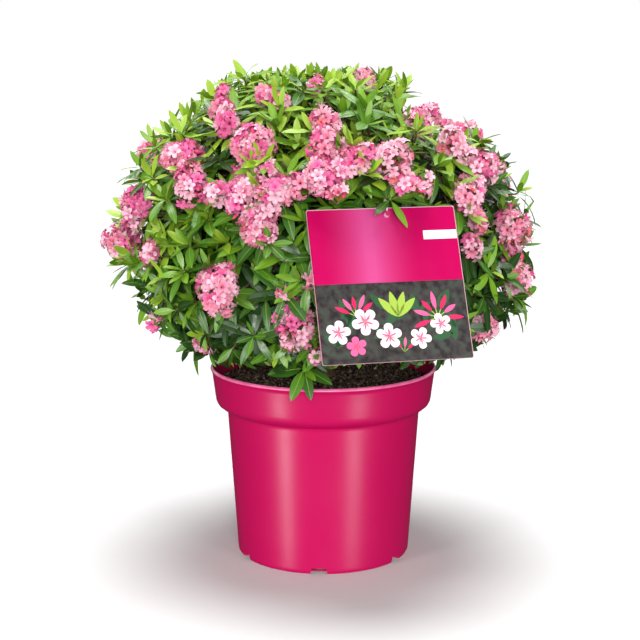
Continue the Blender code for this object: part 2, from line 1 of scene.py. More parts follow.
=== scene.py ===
# %% [markdown]
# # A potted rhododendron in flower
#
# A dwarf rhododendron grown as a dense cushion stands in a pink nursery pot, with a care label
# hung in its leaves. The solids give every part its place and its reach, and this script gives
# every part its finish. The foliage is grown again from the limbs by the same rule that made the
# solids, only with real leaf sizes, finer twigs and open flowers.

import math
import random

import bpy
import numpy as np
from mathutils import Matrix, Vector, noise


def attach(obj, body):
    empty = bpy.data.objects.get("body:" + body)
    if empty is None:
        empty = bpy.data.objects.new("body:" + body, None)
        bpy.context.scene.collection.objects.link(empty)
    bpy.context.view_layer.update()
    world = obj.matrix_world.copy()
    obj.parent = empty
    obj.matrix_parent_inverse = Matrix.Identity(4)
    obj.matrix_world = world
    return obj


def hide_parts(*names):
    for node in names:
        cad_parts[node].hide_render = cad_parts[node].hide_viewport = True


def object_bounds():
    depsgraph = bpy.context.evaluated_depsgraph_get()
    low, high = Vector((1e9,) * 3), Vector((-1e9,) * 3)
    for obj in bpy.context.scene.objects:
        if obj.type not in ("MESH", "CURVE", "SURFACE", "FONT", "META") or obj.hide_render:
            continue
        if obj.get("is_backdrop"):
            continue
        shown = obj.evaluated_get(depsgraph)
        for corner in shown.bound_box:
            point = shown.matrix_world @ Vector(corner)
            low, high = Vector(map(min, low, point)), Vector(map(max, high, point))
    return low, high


# noise_vector shifts its pattern by the clock unless it is given a seed
NOISE_SEED = 17
noise.seed_set(NOISE_SEED)

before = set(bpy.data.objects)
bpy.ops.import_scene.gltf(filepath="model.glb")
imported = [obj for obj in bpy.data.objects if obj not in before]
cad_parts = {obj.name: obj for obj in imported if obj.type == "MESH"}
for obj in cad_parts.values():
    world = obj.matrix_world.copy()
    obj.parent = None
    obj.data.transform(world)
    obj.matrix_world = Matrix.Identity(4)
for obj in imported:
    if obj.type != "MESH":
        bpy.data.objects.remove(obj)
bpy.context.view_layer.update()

# %% [markdown]
# Small helpers come first. An operator works on whatever is selected, so nothing may be left
# selected before a new piece is made. A material is built from nodes: the base colour, then noise
# that reads Object coordinates, so that the pattern stays put when the camera moves.

# %% Helpers for selecting, joining and smoothing


def deselect_all():
    """Leave nothing selected."""
    bpy.ops.object.select_all(action="DESELECT")


def pick(piece):
    """Select one piece alone and make it the active one."""
    deselect_all()
    piece.select_set(True)
    bpy.context.view_layer.objects.active = piece


def rest_at_origin(piece):
    """Move a piece's place into its mesh."""
    pick(piece)
    bpy.ops.object.transform_apply(location=True, rotation=True, scale=True)


def join(pieces, name):
    """Join several pieces into the first one."""
    deselect_all()
    for piece in pieces:
        piece.select_set(True)
    bpy.context.view_layer.objects.active = pieces[0]
    bpy.ops.object.join()
    pieces[0].name = name
    return pieces[0]


def triangles(piece):
    """How many triangles a piece has."""
    return sum(len(face.vertices) - 2 for face in piece.data.polygons)


def piece_of(mesh, name):
    """A new piece of the scene that shows a mesh."""
    piece = bpy.data.objects.new(name, mesh)
    bpy.context.scene.collection.objects.link(piece)
    return piece


def clean_mesh(piece, merge=None, outward=True):
    """Merge points that lie closer than a distance, and turn the faces outward."""
    pick(piece)
    bpy.ops.object.mode_set(mode="EDIT")
    bpy.ops.mesh.select_all(action="SELECT")
    if merge:
        bpy.ops.mesh.remove_doubles(threshold=merge)
    if outward:
        bpy.ops.mesh.normals_make_consistent(inside=False)
    bpy.ops.object.mode_set(mode="OBJECT")


def cut_away(piece, cutter):
    """Take a cutter's shape out of a piece, and remove the cutter."""
    cut = piece.modifiers.new("cut", "BOOLEAN")
    cut.operation = "DIFFERENCE"
    cut.object = cutter
    cut.solver = "EXACT"
    pick(piece)
    bpy.ops.object.modifier_apply(modifier=cut.name)
    bpy.data.objects.remove(cutter, do_unlink=True)


def plain_grid(columns, rows):
    """A grid of so many columns and rows of points, with the place of each column and row."""
    deselect_all()
    bpy.ops.mesh.primitive_grid_add(x_subdivisions=columns - 1, y_subdivisions=rows - 1, size=1.0)
    grid = bpy.context.object
    across = sorted({round(vert.co.x, 4) for vert in grid.data.vertices})
    along = sorted({round(vert.co.y, 4) for vert in grid.data.vertices})
    return grid, across, along


def chance_vector(chance, x, y, z):
    """A random vector, spread so far along each axis."""
    return Vector((chance.gauss(0, x), chance.gauss(0, y), chance.gauss(0, z)))


def between(start, end, shares):
    """Points at some shares of the way from one place to another."""
    return [start.lerp(end, share) for share in shares]


def curve(start, bend, end, steps):
    """Points of a smooth curve that sets out towards a bend and ends away from it."""
    points = []
    for step in range(steps + 1):
        share = step / steps
        points.append(start * (1 - share) ** 2 + bend * 2 * share * (1 - share) + end * share ** 2)
    return points


# %% Helpers for materials


def plain_material(name, colour, roughness, specular=0.5):
    """A Principled material and its node tree."""
    material = bpy.data.materials.new(name)
    material.use_nodes = True
    shader = material.node_tree.nodes["Principled BSDF"]
    shader.inputs["Base Color"].default_value = (*colour, 1.0)
    shader.inputs["Roughness"].default_value = roughness
    shader.inputs["Specular IOR Level"].default_value = specular
    return material


def add_noise(material, scale, detail=4.0, stretch=(1.0, 1.0, 1.0)):
    """A noise pattern on Object coordinates."""
    nodes = material.node_tree.nodes
    links = material.node_tree.links
    place = nodes.new("ShaderNodeTexCoord")
    mapping = nodes.new("ShaderNodeMapping")
    mapping.inputs["Scale"].default_value = stretch
    pattern = nodes.new("ShaderNodeTexNoise")
    pattern.inputs["Scale"].default_value = scale
    pattern.inputs["Detail"].default_value = detail
    links.new(place.outputs["Object"], mapping.inputs["Vector"])
    links.new(mapping.outputs["Vector"], pattern.inputs["Vector"])
    return pattern


def add_bump(material, pattern, strength, distance):
    """Let a pattern raise the surface a little."""
    nodes = material.node_tree.nodes
    links = material.node_tree.links
    bump = nodes.new("ShaderNodeBump")
    bump.inputs["Strength"].default_value = strength
    bump.inputs["Distance"].default_value = distance
    links.new(pattern.outputs["Fac"], bump.inputs["Height"])
    links.new(bump.outputs["Normal"], nodes["Principled BSDF"].inputs["Normal"])


def vary_roughness(material, pattern, smooth, rough):
    """Let a pattern move the roughness between two values."""
    nodes = material.node_tree.nodes
    links = material.node_tree.links
    spread = nodes.new("ShaderNodeMapRange")
    spread.inputs["From Min"].default_value = 0.3
    spread.inputs["From Max"].default_value = 0.7
    spread.inputs["To Min"].default_value = smooth
    spread.inputs["To Max"].default_value = rough
    links.new(pattern.outputs["Fac"], spread.inputs["Value"])
    links.new(spread.outputs["Result"], nodes["Principled BSDF"].inputs["Roughness"])


def vary_colour(material, pattern, stops):
    """Let a pattern move the colour through several stops of (place, colour)."""
    nodes = material.node_tree.nodes
    links = material.node_tree.links
    ramp = nodes.new("ShaderNodeValToRGB")
    while len(ramp.color_ramp.elements) < len(stops):
        ramp.color_ramp.elements.new(0.5)
    for element, (place, colour) in zip(ramp.color_ramp.elements, stops):
        element.position = place
        element.color = (*colour, 1.0)
    links.new(pattern.outputs["Fac"], ramp.inputs["Fac"])
    links.new(ramp.outputs["Color"], nodes["Principled BSDF"].inputs["Base Color"])


def grained_material(name, colour, roughness, specular, grain, bump=None, rough=None, stops=None):
    """A material with one noise that moves its colour or roughness, or raises its surface."""
    material = plain_material(name, colour, roughness, specular)
    pattern = add_noise(material, *grain)
    if stops:
        vary_colour(material, pattern, stops)
    if bump:
        add_bump(material, pattern, *bump)
    if rough:
        vary_roughness(material, pattern, *rough)
    return material


# %% [markdown]
# ## The pot
#
# The real pot is injection-moulded plastic: a thin tapered wall, a wide straight collar with a
# small lip, and drain notches round its foot. It could be a cylinder that is scaled ring by ring.
# Spinning one drawn section is closer to how such a pot is turned, and keeps the wall thickness
# everywhere, so the section is drawn once and spun.

# %% Draw the pot's section and spin it
POT_STEPS = 144
# Radius and height, out along the underside, up the wall and down the inside
POT_SECTION = [
    (0.0000, 0.0000), (0.0500, 0.0000), (0.0780, 0.0000), (0.0862, 0.0000), (0.0876, 0.0006),
    (0.0885, 0.0022), (0.0888, 0.0050), (0.0910, 0.0380), (0.0935, 0.0750), (0.0960, 0.1120),
    (0.0984, 0.1480), (0.0986, 0.1505), (0.0992, 0.1518), (0.1006, 0.1526), (0.1062, 0.1556),
    (0.1088, 0.1578), (0.1101, 0.1606), (0.1108, 0.1650), (0.1122, 0.1760), (0.1138, 0.1880),
    (0.1143, 0.1906), (0.1151, 0.1916), (0.1156, 0.1926), (0.1155, 0.1935), (0.1150, 0.1943),
    (0.1143, 0.1949), (0.1134, 0.1952), (0.1127, 0.1948), (0.1123, 0.1936), (0.1119, 0.1900),
    (0.1096, 0.1730), (0.1083, 0.1640), (0.1070, 0.1604), (0.1050, 0.1588), (0.0982, 0.1552),
    (0.0968, 0.1540), (0.0963, 0.1500), (0.0915, 0.0760), (0.0868, 0.0060), (0.0860, 0.0040),
    (0.0840, 0.0032), (0.0500, 0.0032), (0.0000, 0.0032),
]


def spin_section(name, section, steps):
    """Turn a drawn section once round the upright axis into a closed piece."""
    mesh = bpy.data.meshes.new(name)
    points = [(radius, 0.0, height) for radius, height in section]
    edges = [(number, number + 1) for number in range(len(points) - 1)]
    mesh.from_pydata(points, edges, [])
    piece = piece_of(mesh, name)
    pick(piece)
    bpy.ops.object.mode_set(mode="EDIT")
    bpy.ops.mesh.select_all(action="SELECT")
    bpy.ops.mesh.spin(steps=steps, angle=2.0 * math.pi, center=(0, 0, 0), axis=(0, 0, 1))
    bpy.ops.object.mode_set(mode="OBJECT")
    clean_mesh(piece, 0.00001)
    return piece


pot = spin_section("nursery_pot", POT_SECTION, POT_STEPS)
print("pot:", len(pot.data.polygons), "faces")

# %% [markdown]
# The notches let water out under the standing pot. Each cutter is a cube whose upper end is
# narrowed, turned to its own place, and one Boolean takes them all away.

# %% Cut the drain notches
NOTCH_COUNT = 6
NOTCH_FIRST_DEG = -3.0
NOTCH_WIDE = 0.0180
NOTCH_NARROW = 0.0145
NOTCH_HEIGHT = 0.0065
NOTCH_DEPTH = 0.022
NOTCH_RADIUS = 0.089
notch_cutters = []
for count in range(NOTCH_COUNT):
    deselect_all()
    turn = math.radians(NOTCH_FIRST_DEG + 360.0 / NOTCH_COUNT * count)
    bpy.ops.mesh.primitive_cube_add(size=1.0, location=(0.0, -NOTCH_RADIUS, NOTCH_HEIGHT / 2.0 - 0.001))
    cutter = bpy.context.object
    cutter.scale = (NOTCH_WIDE, NOTCH_DEPTH, NOTCH_HEIGHT + 0.002)
    rest_at_origin(cutter)
    for vert in cutter.data.vertices:
        if vert.co.z > 0.0:
            vert.co.x *= NOTCH_NARROW / NOTCH_WIDE
    cutter.data.transform(Matrix.Rotation(turn, 4, "Z"))
    notch_cutters.append(cutter)
cut_away(pot, join(notch_cutters, "notches"))
bpy.ops.object.shade_smooth_by_angle(angle=math.radians(34.0))

# %% [markdown]
# The plastic is one deep pink, a little rubbed by handling. The lip's crest is painted a paler
# pink with a material of its own: a painted highlight for the shine of the lights along the edge.

# %% Colour the pot, and paint a highlight on its lip
POT_PINK = (0.530, 0.000, 0.088)
LIP_FOOT = 0.1929
LIP_INSIDE = 0.1136
# The lip's crest is painted a paler pink: a painted highlight, broken up by noise
LIP_HIGHLIGHT = (0.900, 0.200, 0.400)
LIP_HIGHLIGHT_DIM = (0.800, 0.130, 0.310)
LIP_HIGHLIGHT_STOPS = [(0.35, LIP_HIGHLIGHT_DIM), (0.60, LIP_HIGHLIGHT)]
MOULDING_BUMP = (0.10, 0.0004)
pot_plastic = grained_material("pot_pink_plastic", POT_PINK, 0.31, 0.62, (260.0, 3.0), MOULDING_BUMP)
vary_roughness(pot_plastic, add_noise(pot_plastic, 18.0, 5.0), 0.29, 0.34)
pot_lip_highlight = grained_material(
    "pot_lip_painted_highlight", LIP_HIGHLIGHT, 0.30, 0.50, (90.0, 4.0), MOULDING_BUMP, stops=LIP_HIGHLIGHT_STOPS
)
pot.data.materials.clear()
pot.data.materials.append(pot_plastic)
pot.data.materials.append(pot_lip_highlight)
# The faces of the lip's crest take the painted highlight
for face in pot.data.polygons:
    far = math.hypot(face.center.x, face.center.y)
    if face.center.z > LIP_FOOT and far > LIP_INSIDE:
        face.material_index = 1
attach(pot, "root")
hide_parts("pot")
print("pot:", triangles(pot), "triangles")

# %% [markdown]
# ## The peat
#
# Moist peat is almost black, and its surface is a bed of loose crumbs with a few pale fibres.
# A noise bump alone would look flat where the light grazes it, so the bed is raised by noise in
# the mesh and then strewn with crumbs, each a small lump copied from one model.

# %% Raise the bed of peat
PEAT_SIDE = [
    (0.0000, 0.0036), (0.0838, 0.0036), (0.0858, 0.0058), (0.0955, 0.1500), (0.0965, 0.1550),
    (0.1048, 0.1600), (0.1074, 0.1636), (0.1096, 0.1770),
]
PEAT_RADIUS = 0.1096
PEAT_EDGE = 0.1770
PEAT_TOP = 0.1835
PEAT_RINGS = 34
PEAT_STEPS = 96


def peat_height(share):
    """The height of the bed, from its edge at share 0 to its middle at share 1."""
    return PEAT_EDGE + (PEAT_TOP - PEAT_EDGE) * math.sin(share * math.pi / 2.0)


peat_section = list(PEAT_SIDE)
for ring in range(1, PEAT_RINGS + 1):
    share = ring / PEAT_RINGS
    peat_section.append((PEAT_RADIUS * (1.0 - share), peat_height(share)))
peat = spin_section("peat_bed", peat_section, PEAT_STEPS)
for vert in peat.data.vertices:
    radius = math.hypot(vert.co.x, vert.co.y)
    if vert.co.z > PEAT_EDGE + 0.0001:
        rise = noise.noise(vert.co * 90.0) * 0.0022 + noise.noise(vert.co * 260.0) * 0.0014
        vert.co.z += rise * min(1.0, (PEAT_RADIUS - radius) / 0.012)
PEAT_STOPS = [(0.38, (0.016, 0.010, 0.007)), (0.50, (0.080, 0.052, 0.036)), (0.64, (0.260, 0.175, 0.120))]
peat_dark = grained_material(
    "peat_dark", (0.030, 0.019, 0.013), 0.92, 0.25, (330.0, 5.0), (0.8, 0.0008), stops=PEAT_STOPS
)
peat_fibre = plain_material("peat_fibre", (0.190, 0.115, 0.065), 0.9, 0.2)
peat.data.materials.append(peat_dark)
peat.data.materials.append(peat_fibre)

# %% [markdown]
# Things that repeat hundreds of times, such as crumbs, leaves and petals, are modelled once with
# operators. Their points and faces are then read as a pattern, and one helper lays out all the
# copies at once and makes a single mesh of them. That is much faster than hundreds of objects.

# %% A pattern that can be laid out many times


class Pattern:
    """Points, faces and material numbers of one small model."""

    def __init__(self, piece):
        mesh = piece.data
        self.points = np.array([vert.co[:] for vert in mesh.vertices], float)
        self.faces = [tuple(face.vertices) for face in mesh.polygons]
        self.slots = np.array([face.material_index for face in mesh.polygons], int)
        bpy.data.objects.remove(piece, do_unlink=True)


def mesh_from_copies(name, batches, materials):
    """One mesh from batches of (pattern, points of every copy, material numbers of every copy)."""
    all_points = []
    all_corners = []
    all_sizes = []
    all_slots = []
    offset = 0
    for pattern, points, slots in batches:
        copies = len(points)
        if not copies:
            continue
        corners = np.array([corner for face in pattern.faces for corner in face])
        sizes = np.array([len(face) for face in pattern.faces])
        shift = offset + np.arange(copies)[:, None] * len(pattern.points)
        all_points.append(points.reshape(-1, 3))
        all_corners.append((corners[None, :] + shift).ravel())
        all_sizes.append(np.tile(sizes, copies))
        all_slots.append(slots.ravel())
        offset += copies * len(pattern.points)
    points = np.concatenate(all_points).astype(np.float32)
    corners = np.concatenate(all_corners).astype(np.int32)
    sizes = np.concatenate(all_sizes)
    slots = np.concatenate(all_slots).astype(np.int32)
    mesh = bpy.data.meshes.new(name)
    mesh.vertices.add(len(points))
    mesh.vertices.foreach_set("co", points.ravel())
    mesh.loops.add(len(corners))
    mesh.loops.foreach_set("vertex_index", corners)
    mesh.polygons.add(len(sizes))
    mesh.polygons.foreach_set("loop_start", np.concatenate([[0], np.cumsum(sizes)[:-1]]).astype(np.int32))
    mesh.polygons.foreach_set("material_index", slots)
    mesh.polygons.foreach_set("use_smooth", np.ones(len(sizes), bool))
    for material in materials:
        mesh.materials.append(material)
    mesh.update(calc_edges=True)
    mesh.validate()
    return piece_of(mesh, name)


def turn_to(axis, roll):
    """A rotation that points local Z along an axis after a roll about it."""
    swing = Vector((0.0, 0.0, 1.0)).rotation_difference(Vector(axis)).to_matrix()
    return np.array(swing @ Matrix.Rotation(roll, 3, "Z"))


# %% Strew the peat with crumbs and fibres
CRUMBS = 2600
FIBRES = 260
STREWN_RADIUS = 0.107
deselect_all()
bpy.ops.mesh.primitive_ico_sphere_add(subdivisions=1, radius=1.0)
lump = bpy.context.object
for vert in lump.data.vertices:
    vert.co *= 1.0 + 0.35 * noise.noise(vert.co * 1.7)
crumb = Pattern(lump)
deselect_all()
bpy.ops.mesh.primitive_cylinder_add(vertices=4, radius=0.5, depth=1.0)
fibre = Pattern(bpy.context.object)


def scatter_on_peat(pattern, count, size_of, seed, slot):
    """Copies of a small model strewn over the bed, half sunk in it."""
    chance = random.Random(seed)
    placed = []
    for number in range(count):
        radius = STREWN_RADIUS * math.sqrt(chance.random())
        turn = chance.uniform(0.0, 2.0 * math.pi)
        height = peat_height(1.0 - radius / PEAT_RADIUS)
        axis = chance_vector(chance, 1, 1, 0.35).normalized()
        size = np.array(size_of(chance))
        spin = turn_to(axis, chance.uniform(0.0, 6.28))
        centre = np.array((radius * math.cos(turn), radius * math.sin(turn), height + 0.0003))
        placed.append((pattern.points * size) @ spin.T + centre)
    return pattern, np.array(placed), np.full((count, len(pattern.faces)), slot)


def crumb_size(chance):
    """Sizes of a crumb, many small and few large."""
    base = 0.0007 + 0.0026 * chance.random() ** 2.2
    return base * chance.uniform(0.7, 1.2), base * chance.uniform(0.7, 1.2), base * chance.uniform(0.8, 1.4)


def fibre_size(chance):
    """Sizes of a fibre, thin and up to a centimetre long."""
    thick = chance.uniform(0.0003, 0.0007)
    return thick, thick, chance.uniform(0.003, 0.011)


strewn = mesh_from_copies(
    "strewn",
    [scatter_on_peat(crumb, CRUMBS, crumb_size, 5, 0), scatter_on_peat(fibre, FIBRES, fibre_size, 6, 1)],
    [peat_dark, peat_fibre],
)
peat = join([peat, strewn], "peat_bed_and_crumbs")
pick(peat)
bpy.ops.object.shade_smooth_by_angle(angle=math.radians(50.0))
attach(peat, "root")
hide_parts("peat")
print("peat:", triangles(peat), "triangles")

# %% [markdown]
# ## The crown's rule
#
# The plant is a dome that is widest a little over its middle. Each mass of foliage owns one cone
# of that dome, with a bough up to it, and its twig tips are spread by a seeded rule: of many
# trial places, the one furthest from every tip so far is kept. The same names, numbers and rule
# stand in the solids' own source, so the first tips here are exactly the tips there.

# %% The dome and its cones
CENTRE = Vector((0.0, 0.0, 0.325))
CROWN_RADIUS = 0.224
CROWN_RISE = 0.176
CROWN_DROP = 0.131
RISE_POWER = 2.5
DROP_POWER = 2.8
LOWEST_LEAF = 0.1966
UPPER_COUNT = 5
LOWER_COUNT = 6
SEED = 421


def aim(azimuth_deg, elevation_deg):
    """The unit direction that is so many degrees round from the front and up from level."""
    turn = math.radians(azimuth_deg)
    lift = math.radians(elevation_deg)
    return Vector((math.sin(turn) * math.cos(lift), -math.cos(turn) * math.cos(lift), math.sin(lift)))


MASSES = [("foliage_top", aim(0.0, 90.0))]
MASSES += [("foliage_upper_%d" % (n + 1), aim(15.0 + 72.0 * n, 35.0)) for n in range(UPPER_COUNT)]
MASSES += [("foliage_lower_%d" % (n + 1), aim(60.0 * n, -18.0)) for n in range(LOWER_COUNT)]


def owner_of(point):
    """The number of the mass whose cone holds a point."""
    offset = point - CENTRE
    return max(range(len(MASSES)), key=lambda number: offset.dot(MASSES[number][1]))


def in_cone(point, number, gap):
    """Whether a point lies in a mass's cone, so far from its walls."""
    offset = point - CENTRE
    own = MASSES[number][1]
    for other, (name, direction) in enumerate(MASSES):
        if other != number:
            wall = own - direction
            if offset.dot(wall) < gap * wall.length:
                return False
    return True


def dome_share(point):
    """How far out a point lies: 1 on the dome, 0 at its centre."""
    offset = point - CENTRE
    across = math.hypot(offset.x, offset.y) / CROWN_RADIUS
    upright = offset.z / CROWN_RISE if offset.z > 0.0 else -offset.z / CROWN_DROP
    power = RISE_POWER if offset.z > 0.0 else DROP_POWER
    return (across ** power + upright ** power) ** (1.0 / power)


def dome_shares(points):
    """The same for an array of points."""
    offset = points - np.array(CENTRE)
    across = np.hypot(offset[..., 0], offset[..., 1]) / CROWN_RADIUS
    above = offset[..., 2] > 0.0
    upright = np.where(above, offset[..., 2] / CROWN_RISE, -offset[..., 2] / CROWN_DROP)
    power = np.where(above, RISE_POWER, DROP_POWER)
    return (across ** power + upright ** power) ** (1.0 / power)


def dome_point(direction, share):
    """The point in a direction from the centre that lies so far out."""
    return CENTRE + direction * (share / dome_share(CENTRE + direction))


def dome_ring_point(azimuth_deg, height, share):
    """The point at an azimuth and a height that lies so far out."""
    offset = height - CENTRE.z
    upright = offset / CROWN_RISE if offset > 0.0 else -offset / CROWN_DROP
    power = RISE_POWER if offset > 0.0 else DROP_POWER
    across = CROWN_RADIUS * max(0.0, share ** power - upright ** power) ** (1.0 / power)
    turn = math.radians(azimuth_deg)
    return Vector((math.sin(turn) * across, -math.cos(turn) * across, height))


def dome_normal(point):
    """The direction square to the dome at a point."""
    slope = []
    for axis in range(3):
        shift = Vector((0.0, 0.0, 0.0))
        shift[axis] = 0.0005
        slope.append(dome_share(point + shift) - dome_share(point - shift))
    return Vector(slope).normalized()


# %% [markdown]
# A clipped ball has an even outline, and this plant hasn't: it grows in tufts, with hollows
# between them where a shoot is missing. Each hollow is a direction from the centre, a depth as a
# share of the dome and a spread in degrees, and tips and leaves stay inside what is left.

# %% Hollows in the crown
# Degrees round from the front, degrees up from level, depth, spread in degrees
HOLLOWS = [
    (-92, 42, 0.21, 12), (-86, 28, 0.09, 7), (-86, 17, 0.27, 9), (-78, -14, 0.11, 9), (-64, -28, 0.18, 13),
    (50, 46, 0.15, 9), (67, 46, 0.18, 10), (84, 44, 0.22, 10), (101, 46, 0.19, 10), (118, 46, 0.18, 10),
    (84, 34, 0.21, 8), (84, 23, 0.12, 7), (85, 14, 0.20, 7), (82, -2, 0.20, 7), (77, -24, 0.05, 7),
    (60, -30, 0.06, 9), (-60, -12, 0.10, 7), (-112, -15, 0.16, 12), (-48, -26, 0.12, 8), (-35, 8, 0.12, 8),
    (-20, -6, 0.14, 8), (-3, 24, 0.10, 7), (-56, 4, 0.12, 7), (-6, 36, 0.10, 7),
]
OTHER_HOLLOWS = 30
hollow_chance = random.Random(9)
for count in range(OTHER_HOLLOWS):
    lift = math.degrees(math.asin(hollow_chance.uniform(-0.6, 1.0)))
    azimuth = hollow_chance.uniform(95.0, 265.0)
    HOLLOWS.append((azimuth, lift, hollow_chance.uniform(0.07, 0.20), hollow_chance.uniform(7.0, 13.0)))
hollow_aims = np.array([aim(azimuth, lift) for azimuth, lift, depth, spread in HOLLOWS])
hollow_depths = np.array([depth for azimuth, lift, depth, spread in HOLLOWS])
hollow_spreads = np.radians([spread for azimuth, lift, depth, spread in HOLLOWS])


def reach(points):
    """How far out the crown reaches in the direction of each point, 1 where nothing is missing."""
    offset = np.array(points) - np.array(CENTRE)
    offset = offset / np.linalg.norm(offset, axis=-1, keepdims=True)
    angles = np.arccos(np.clip(offset @ hollow_aims.T, -1.0, 1.0))
    return 1.0 - (hollow_depths * np.exp(-((angles / hollow_spreads) ** 2))).sum(axis=-1)


def pulled_in(place, edge):
    """A tip's place, drawn towards the centre where it lies past the edge of a hollow."""
    share = dome_share(place)
    limit = float(reach(place)) * edge
    if share <= limit:
        return place
    return CENTRE + (place - CENTRE) * (limit / share)


print(len(HOLLOWS), "hollows")

# %% [markdown]
# Two kinds of tip stand on this dome. The first are the solids' own, drawn in where there is a
# hollow: flower heads where they show, then whorls between them. Some heads that are too small
# for solids join them. The finer tips fill what a real plant fills, and lie between and behind
# the first, so that the crown turns dense without growing.

# %% Spread the tips
TIP_COUNT = 92
TIP_SHARE = (0.77, 0.90)
TIP_WALL_GAP = 0.012
HEAD_SHARE = 0.90
HIDDEN_HEAD_CHANCE = 0.42
# Flower heads seen from the front: degrees round from the front, height, radius
HEADS = [
    (-63, 0.369, 0.019), (-73, 0.329, 0.022), (-47, 0.415, 0.020), (-38, 0.392, 0.018),
    (-22, 0.428, 0.021), (-22, 0.384, 0.019), (-12, 0.392, 0.017), (-16, 0.357, 0.015),
    (-28, 0.301, 0.023), (-8, 0.271, 0.020), (0, 0.449, 0.014), (0, 0.428, 0.016),
    (-1, 0.401, 0.017), (10, 0.418, 0.016), (19, 0.416, 0.021), (24, 0.391, 0.016),
    (48, 0.460, 0.014), (39, 0.480, 0.014), (-20, 0.466, 0.011), (-36, 0.446, 0.012),
    (44, 0.428, 0.015), (52, 0.406, 0.019), (42, 0.382, 0.016), (61, 0.346, 0.019),
    (66, 0.296, 0.018), (57, 0.254, 0.015), (-52, 0.231, 0.011),
]
# Small ones, too slight for a solid of their own
SMALL_HEADS = [
    (-52, 0.328, 0.010), (4, 0.387, 0.012), (-3, 0.481, 0.010), (44, 0.360, 0.010),
    (41, 0.338, 0.010), (-1, 0.243, 0.010), (-4, 0.312, 0.006), (-10, 0.302, 0.006), (-60, 0.255, 0.008),
    (-30, 0.471, 0.011), (-61, 0.470, 0.009), (-43, 0.459, 0.010),
]
WHORL_EDGE = 0.90
FINE_EDGE = 0.93
SMALL_HEAD_SHARE = 0.91
BACK_HEADS = 18
BACK_HEAD_SHARE = 0.88
BACK_AZIMUTHS = (108.0, 252.0)
BACK_HEIGHTS = (0.240, 0.452)
UPPER_RIGHT_SHARE = 0.97
FINE_TIPS = 640
FINE_SHARE = (0.70, 0.93)
DEEP_TIPS = 340
DEEP_SHARE = (0.46, 0.72)


def first_tips():
    """The tips of the solids: place and radius of the flower head, or nothing."""
    chance = random.Random(SEED)
    tips = []
    for azimuth, height, radius in HEADS:
        place = dome_ring_point(azimuth, height, HEAD_SHARE - 0.3 * max(0.0, radius - 0.018) / 0.2)
        tips.append((place, radius))
    while len(tips) < TIP_COUNT:
        best = None
        best_gap = -1.0
        for attempt in range(90):
            lift = math.degrees(math.asin(chance.uniform(-0.80, 1.0)))
            direction = aim(chance.uniform(-180.0, 180.0), lift)
            place = dome_point(direction, chance.uniform(*TIP_SHARE))
            if place.z < LOWEST_LEAF + 0.012 or not in_cone(place, owner_of(place), TIP_WALL_GAP):
                continue
            gap = min((place - other[0]).length - (0.008 if other[1] else 0.0) for other in tips)
            if gap > best_gap:
                best_gap = gap
                best = place
        hidden = best.y > -0.02
        radius = chance.uniform(0.015, 0.021) if hidden and chance.random() < HIDDEN_HEAD_CHANCE else None
        tips.append((best, radius))
    return tips


# The label's place is needed here, because no leaf may grow in front of it
LABEL_CENTRE = (0.0577, -0.2050, 0.3112)
LABEL_WIDE = 0.1360
LABEL_HIGH = 0.1410
LABEL_LEAN_DEG = -26.0
LABEL_ROLL_DEG = -0.4
LABEL_YAW_DEG = 12.8
LABEL = Matrix.Translation(Vector(LABEL_CENTRE))
for degrees, axis_name in ((LABEL_YAW_DEG, "Z"), (LABEL_LEAN_DEG, "X"), (LABEL_ROLL_DEG, "Y")):
    LABEL = LABEL @ Matrix.Rotation(math.radians(degrees), 4, axis_name)
LABEL_BACK = LABEL.inverted()


def before_label(place):
    """Whether a place lies in front of the label or close behind it."""
    local = LABEL_BACK @ place
    within = abs(local.x) < LABEL_WIDE / 2.0 + 0.006 and abs(local.z) < LABEL_HIGH / 2.0 + 0.006
    return within and local.y < 0.008


def more_tips(known, count, shares, trials, seed):
    """Finer tips, each as far as it can be from all the others and clear of the flower heads."""
    chance = random.Random(seed)
    places = [np.array(place) for place, radius in known]
    spares = [0.55 * radius if radius else 0.0 for place, radius in known]
    made = []
    while len(made) < count:
        best = None
        best_gap = -1.0
        taken = np.array(places)
        kept = np.array(spares)
        for attempt in range(trials):
            lift = math.degrees(math.asin(chance.uniform(-0.86, 1.0)))
            direction = aim(chance.uniform(-180.0, 180.0), lift)
            place = dome_point(direction, chance.uniform(*shares))
            if place.z < LOWEST_LEAF + 0.010 or before_label(place):
                continue
            place = pulled_in(place, FINE_EDGE)
            gap = (np.linalg.norm(taken - np.array(place), axis=1) - kept).min()
            if gap > best_gap:
                best_gap = gap
                best = place
        made.append(best)
        places.append(np.array(best))
        spares.append(0.0)
    return made


def tip_share(place, radius):
    """How far out a tip stays: flower heads in place, a few at the upper right a little deeper."""
    if not radius:
        return WHORL_EDGE
    return UPPER_RIGHT_SHARE if place.z > 0.420 and place.x > 0.045 else 1.0


def back_heads(known):
    """Small flower heads for the sides that the photograph hides, each far from all the others."""
    chance = random.Random(19)
    made = []
    for count in range(BACK_HEADS):
        best = None
        best_gap = -1.0
        for attempt in range(40):
            azimuth = chance.uniform(*BACK_AZIMUTHS)
            place = dome_ring_point(azimuth, chance.uniform(*BACK_HEIGHTS), BACK_HEAD_SHARE)
            gap = min((place - other).length for other in known + [own for own, radius in made])
            if gap > best_gap:
                best_gap = gap
                best = place
        made.append((best, chance.uniform(0.011, 0.018)))
        if chance.random() < 0.55:
            beside = chance_vector(chance, 1, 1, 1).normalized() * 0.026
            direction = (best + beside - CENTRE).normalized()
            made.append((dome_point(direction, BACK_HEAD_SHARE), chance.uniform(0.011, 0.016)))
    return made


